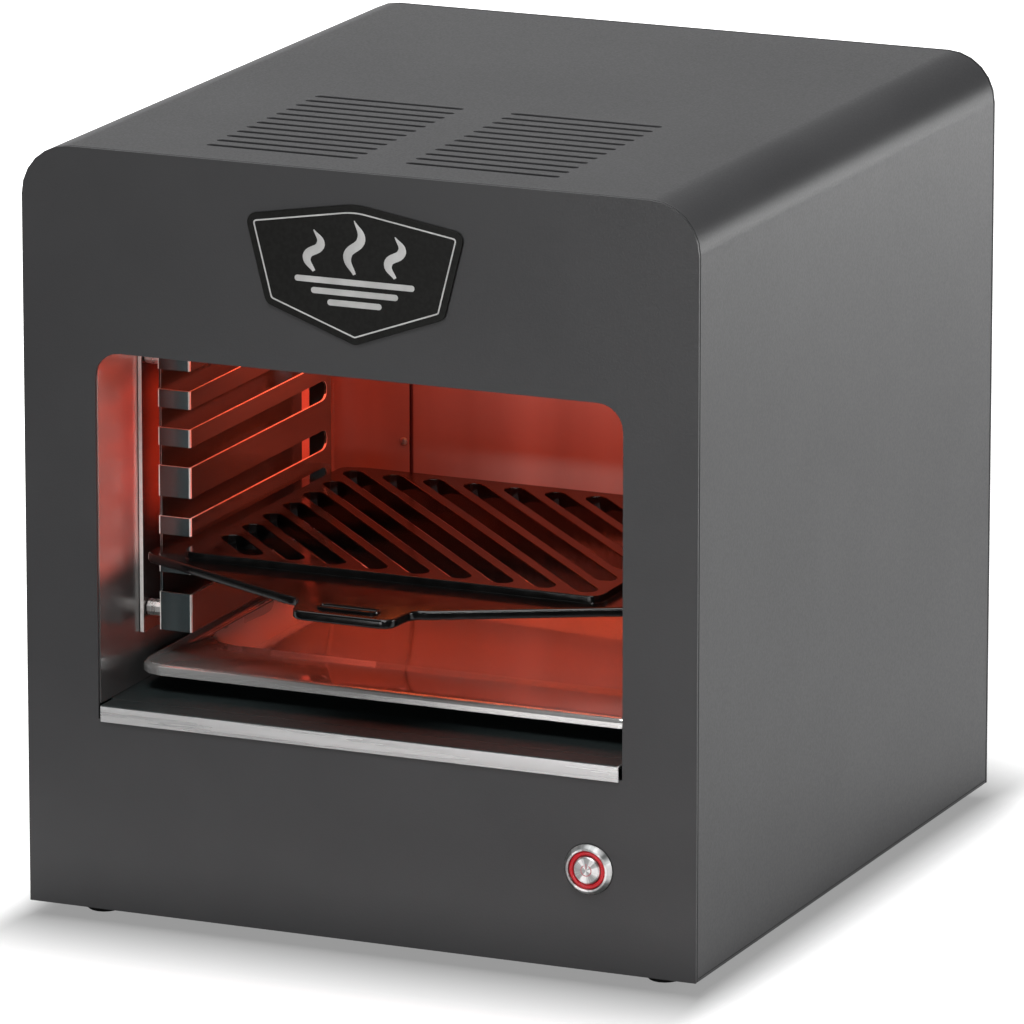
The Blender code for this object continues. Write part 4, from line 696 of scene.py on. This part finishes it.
# Chamber walls
# Bright rolled stainless sheets folded round the rear corners, with a rear sheet screwed behind their edges.
# The rear sheet is warm brown, partly from heat stain and partly a painted red glow. The cut edges of the folds
# at the rear seams are painted dark, and the rear sheet darkens beside the seams, partly grease and partly
# painted shade of the gaps. The side sheets are pink with painted glow above the plate and grey with painted
# shade below it.
PAINTED_SHADE_END = 0.166
PAINTED_GLOW_START = 0.182
SEAM_BEYOND = 0.0005
SEAM_DARK = 0.0004
SEAM_END = 0.0011
REAR_FOLD_START = 0.05

# The rear sheet's warm brown is partly heat stain and partly a painted red glow.
rear_steel = metal("rear wall steel", dark=(0.110, 0.080, 0.070), light=(0.185, 0.140, 0.125), roughness=0.34,
                   scale=16, stretch=(1, 1, 0.1), bump=0.02, metallic=0.40)
# The side sheets' pink tint is a painted red glow.
glow_tinted_side_steel = metal("side wall steel", dark=(0.70, 0.44, 0.40), light=(0.90, 0.58, 0.54), roughness=0.22,
                   scale=12, stretch=(1, 1, 0.4), bump=0.02, metallic=0.60)
# The folds' cut edges at the rear seams are painted dark, a painted shade of the gaps.
seam_edge_painted_shade = metal("seam edge painted shade", dark=(0.06, 0.04, 0.03), light=(0.10, 0.06, 0.05), roughness=0.45,
                     scale=200)


def blend_near(material, axis, centre, near, far, colour):
    """Turns a finish to another colour near a plane, which an axis and a coordinate give."""
    tree = material.node_tree
    shader = tree.nodes["Principled BSDF"]
    own = shader.inputs["Base Color"].links[0].from_socket
    place = tree.nodes.new("ShaderNodeTexCoord")
    split = tree.nodes.new("ShaderNodeSeparateXYZ")
    away = tree.nodes.new("ShaderNodeMath")
    away.operation = "SUBTRACT"
    away.inputs[1].default_value = centre
    distance = tree.nodes.new("ShaderNodeMath")
    distance.operation = "ABSOLUTE"
    step = tree.nodes.new("ShaderNodeMapRange")
    step.interpolation_type = "SMOOTHSTEP"
    step.inputs["From Min"].default_value = near
    step.inputs["From Max"].default_value = far
    mix = tree.nodes.new("ShaderNodeMix")
    mix.data_type = "RGBA"
    mix.inputs["A"].default_value = (*colour, 1)
    tree.links.new(place.outputs["Object"], split.inputs[0])
    tree.links.new(split.outputs[axis], away.inputs[0])
    tree.links.new(away.outputs[0], distance.inputs[0])
    tree.links.new(distance.outputs[0], step.inputs["Value"])
    tree.links.new(step.outputs[0], mix.inputs["Factor"])
    tree.links.new(own, mix.inputs["B"])
    tree.links.new(mix.outputs["Result"], shader.inputs["Base Color"])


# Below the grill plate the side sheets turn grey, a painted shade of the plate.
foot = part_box("chamber_wall_left")[0].z
blend_near(glow_tinted_side_steel, "Z", foot, PAINTED_SHADE_END - foot, PAINTED_GLOW_START - foot, colour=(0.20, 0.20, 0.20))
# Beside each seam the rear sheet darkens, partly grease and partly painted shade of the gap.
for seam in (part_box("chamber_wall_left")[1].x + SEAM_BEYOND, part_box("chamber_wall_right")[0].x - SEAM_BEYOND):
    blend_near(rear_steel, "X", seam, SEAM_DARK, SEAM_END, colour=(0.03, 0.01, 0.01))
for hand, side in HANDS:
    wall = finished_copy(f"chamber_wall_{hand}", "housing", glow_tinted_side_steel, edge=0)
    paint_faces(wall, seam_edge_painted_shade,
                lambda middle, normal: middle.y > REAR_FOLD_START and normal.x * side < -FACING)
    paint_faces(wall, rear_steel, lambda middle, normal: middle.y > REAR_FOLD_START and normal.y < -FACING)
finished_copy("chamber_wall_rear", "housing", rear_steel, edge=0)
screw_steel = metal("screw steel", dark=(0.34, 0.33, 0.32), light=(0.42, 0.41, 0.40), roughness=0.35,
                    scale=300)
for number in range(1, 5):
    finished_copy(f"rear_wall_screw_{number}", "housing", screw_steel, edge=0.0001)


# Racks
# Folded stainless channels with open-ended slots, bolted through spacers to a carrier plate on each wall. The
# faces that turn up to the glow are paler, painted as lit by it; the rounded folds and the carriers' front edges
# carry a painted highlight, and the lands' front faces are tinted blue-green to paint out the glow's red light.
# FLAT_ON and TURNED are shares of a normal too.
FLAT_ON = 0.95
TURNED = 0.2

rack_steel = metal("rack steel", dark=(0.12, 0.115, 0.11), light=(0.20, 0.195, 0.185), roughness=0.15,
                   scale=30, stretch=(1, 0.15, 1), bump=0.02, metallic=0.80)
# Bright matt faces that are a painted highlight.
painted_highlight_edge = metal("painted highlight edge", dark=(0.88, 0.85, 0.82), light=(0.95, 0.93, 0.90), roughness=0.50,
                    scale=300, metallic=0)
# Upward faces painted paler, as if lit by the glow above.
painted_lit_top = metal("cut edge", dark=(0.36, 0.33, 0.30), light=(0.50, 0.46, 0.43), roughness=0.45, scale=300,
                 metallic=0)
# The lands' front faces get a blue-green tint that paints out the red of the glow's light.
land_steel = metal("land steel", dark=(0.10, 0.14, 0.15), light=(0.20, 0.25, 0.26), roughness=0.15, scale=30,
                   stretch=(1, 1, 0.2), bump=0.02)
bolt_steel = metal("bolt steel", dark=(0.70, 0.69, 0.67), light=(0.80, 0.79, 0.77), roughness=0.28, scale=300,
                   stretch=(1, 1, 0.2), bump=0.02, metallic=0.8)
for hand in ("left", "right"):
    rack = finished_copy(f"rack_{hand}", "housing", rack_steel, edge=0.0002)
    paint_faces(rack, painted_lit_top, lambda middle, normal: normal.z > FACING)
    paint_faces(rack, land_steel, lambda middle, normal: normal.y < -FLAT_ON)
    paint_faces(rack, painted_highlight_edge, lambda middle, normal: normal.y < -TURNED and abs(normal.x) > TURNED)
    carrier = finished_copy(f"carrier_plate_{hand}", "housing", rack_steel, edge=0.0002)
    paint_faces(carrier, painted_highlight_edge, lambda middle, normal: normal.y < -FACING)
    for number in range(1, 5):
        finished_copy(f"spacer_bolt_{hand}_{number}", "housing", bolt_steel, edge=0.0002)


# Grill plate
# Cast iron under glossy black enamel, which fills and rounds every edge. A low bead runs round the slot in
# the lug.
LUG_SLOT_LENGTH = 0.030
LUG_SLOT_WIDTH = 0.006
LUG_SLOT_SETBACK = 0.010
LUG_BEAD = 0.0009
LUG_SAMPLE = 0.004

plate_enamel = fired_enamel("plate enamel", dark=(0.0025, 0.0025, 0.0025), light=(0.0045, 0.0045, 0.0045),
                            smooth=0.11, rough=0.17, scale=120, specular=0.4, bump=0.10, relief=0.0004)
finished_copy("grill_plate", "grill_plate", plate_enamel, edge=0.0012, segments=4)
low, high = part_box("grill_plate")
slot_middle = Vector(((low.x + high.x) / 2, low.y + LUG_SLOT_SETBACK, 0))
half = LUG_SLOT_LENGTH / 2 + LUG_BEAD
slot_middle.z = max(corner.co.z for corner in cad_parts["grill_plate"].data.vertices
                    if abs(corner.co.x - slot_middle.x) < half
                    and abs(corner.co.y - slot_middle.y) < LUG_SAMPLE)
bpy.ops.object.select_all(action="DESELECT")
bpy.ops.mesh.primitive_torus_add(location=slot_middle, major_segments=32, minor_segments=8,
                                 major_radius=LUG_SLOT_WIDTH / 2 + LUG_BEAD / 2, minor_radius=LUG_BEAD)
bead = bpy.context.active_object
bpy.ops.object.transform_apply(location=True, rotation=True, scale=True)
draw_out(bead, 0, slot_middle.x, LUG_SLOT_LENGTH - LUG_SLOT_WIDTH)
dress(bead, "lug_slot_bead", "grill_plate", plate_enamel)


# Drip tray
# Pressed stainless sheet with a rolled rim, a flat apron in front and sloping walls. The pressing left the bead
# in front satin. The side slopes get a less metallic, blue-grey finish, a painted reflection that keeps them pale
# under the red glow. It lies loose on the chamber's floor.
TRAY_ROLLED_RIM = 0.006
TRAY_FRONT_BEAD = 0.0048
SLOPING = 0.15

tray_steel = metal("tray steel", dark=(0.84, 0.85, 0.83), light=(0.92, 0.93, 0.91), roughness=0.09, scale=40,
                   stretch=(0.2, 1, 1), bump=0.01, metallic=0.85)
# The side slopes' finish is a painted reflection.
slope_painted_reflection = metal("slope painted reflection", dark=(0.70, 0.72, 0.72), light=(0.78, 0.80, 0.80), roughness=0.30,
                    scale=40, stretch=(1, 0.2, 1), bump=0.01, metallic=0.3)
satin_bead = metal("satin bead", dark=(0.76, 0.76, 0.75), light=(0.88, 0.88, 0.87), roughness=0.20, scale=60,
                   stretch=(0.1, 1, 1), bump=0.01, metallic=0.80)
low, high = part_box("drip_tray")
tray_middle = (low.x + high.x) / 2
inside_rim = (high.x - low.x) / 2 - TRAY_ROLLED_RIM
bead_back = low.y + TRAY_FRONT_BEAD


def on_side_slope(middle, normal):
    """Whether a face belongs to the slopes at the tray's left and right."""
    slopes = abs(normal.x) > SLOPING and SLOPING < normal.z < FLAT_ON
    return slopes and abs(middle.x - tray_middle) < inside_rim


tray = finished_copy("drip_tray", "drip_tray", tray_steel, edge=0)
paint_faces(tray, slope_painted_reflection, on_side_slope)
paint_faces(tray, satin_bead, lambda middle, normal: middle.y < bead_back)


# Reflector and heating elements
# A polished box over the chamber, with two bent tubular elements held by slotted hangers and ceramic bushes.
# The tubes glow orange. Lamps in the same place, and behind the racks, throw the glow's light.
GLOW_SETBACK = 0.035
GLOW_LIFT = 0.004
RACK_GLOW_GAP = 0.0005
RACK_GLOW_HEIGHT = 0.6

wall_steel = metal("wall steel", dark=(0.50, 0.47, 0.45), light=(0.58, 0.55, 0.53), roughness=0.20, scale=40,
                   stretch=(1, 1, 0.15), bump=0.02, metallic=0.75)
finished_copy("reflector", "housing", wall_steel, edge=0.0002)
finished_copy("element_hanger_front", "housing", wall_steel, edge=0.0001)
finished_copy("element_hanger_rear", "housing", wall_steel, edge=0.0001)
hot_tube = speckled("hot tube", dark=(0.10, 0.03, 0.02), light=(0.25, 0.08, 0.05), roughness=0.55, scale=90)
add_glow(hot_tube, colour=(1, 0.16, 0.03), strength=3.0)
for hand in ("left", "right"):
    finished_copy(f"heating_element_{hand}", "housing", hot_tube, edge=0)
bush_ceramic = speckled("bush ceramic", dark=(0.62, 0.60, 0.55), light=(0.75, 0.73, 0.68), roughness=0.45,
                        scale=400)
for number in range(1, 5):
    finished_copy(f"ceramic_bush_{number}", "housing", bush_ceramic, edge=0.0003)
low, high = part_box("reflector")
glow_place = Vector(((low.x + high.x) / 2, (low.y + high.y) / 2 + GLOW_SETBACK, low.z + GLOW_LIFT))
lamp("element glow", glow_place, target=(glow_place.x, glow_place.y, 0), size=(0.26, 0.16), power=1.5,
     colour=(1, 0.095, 0.045), mirrored=False)
for hand, side in HANDS:
    low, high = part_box(f"rack_{hand}")
    back = (low.x if side < 0 else high.x) + side * RACK_GLOW_GAP
    channel = Vector((back, (low.y + high.y) / 2, low.z + RACK_GLOW_HEIGHT * (high.z - low.z)))
    lamp(f"glow behind the {hand} rack", channel, target=channel + Vector((side, 0, 0)), size=(0.15, 0.07),
         power=0.30, colour=(1, 0.05, 0.018), mirrored=False)


# Heat shield and electric parts
# Galvanised shield round the chamber, with the cut-out on the reflector, the terminal block on the base
# plate, sleeved wires between them and the cord's rubber gland in the rear panel.
finished_copy("heat_shield", "housing", zinc, edge=0)
black_plastic = speckled("black plastic", dark=(0.012, 0.012, 0.012), light=(0.020, 0.020, 0.020),
                         roughness=0.5, scale=600)
finished_copy("thermal_cutout", "housing", black_plastic, edge=0.0003)
cream_plastic = speckled("cream plastic", dark=(0.60, 0.57, 0.47), light=(0.68, 0.65, 0.55), roughness=0.5,
                         scale=600)
finished_copy("terminal_block", "housing", cream_plastic, edge=0.0005)
finished_copy("cord_gland", "housing", rubber, edge=0.0004)
sleeve = speckled("wire sleeve", dark=(0.48, 0.46, 0.40), light=(0.70, 0.68, 0.62), roughness=0.85,
                  scale=1200, bump=0.6, stretch=(1, 1, 2))
for wire in ("wire_switch", "wire_cutout", "wire_element_left", "wire_element_right"):
    finished_copy(wire, "housing", sleeve, edge=0)
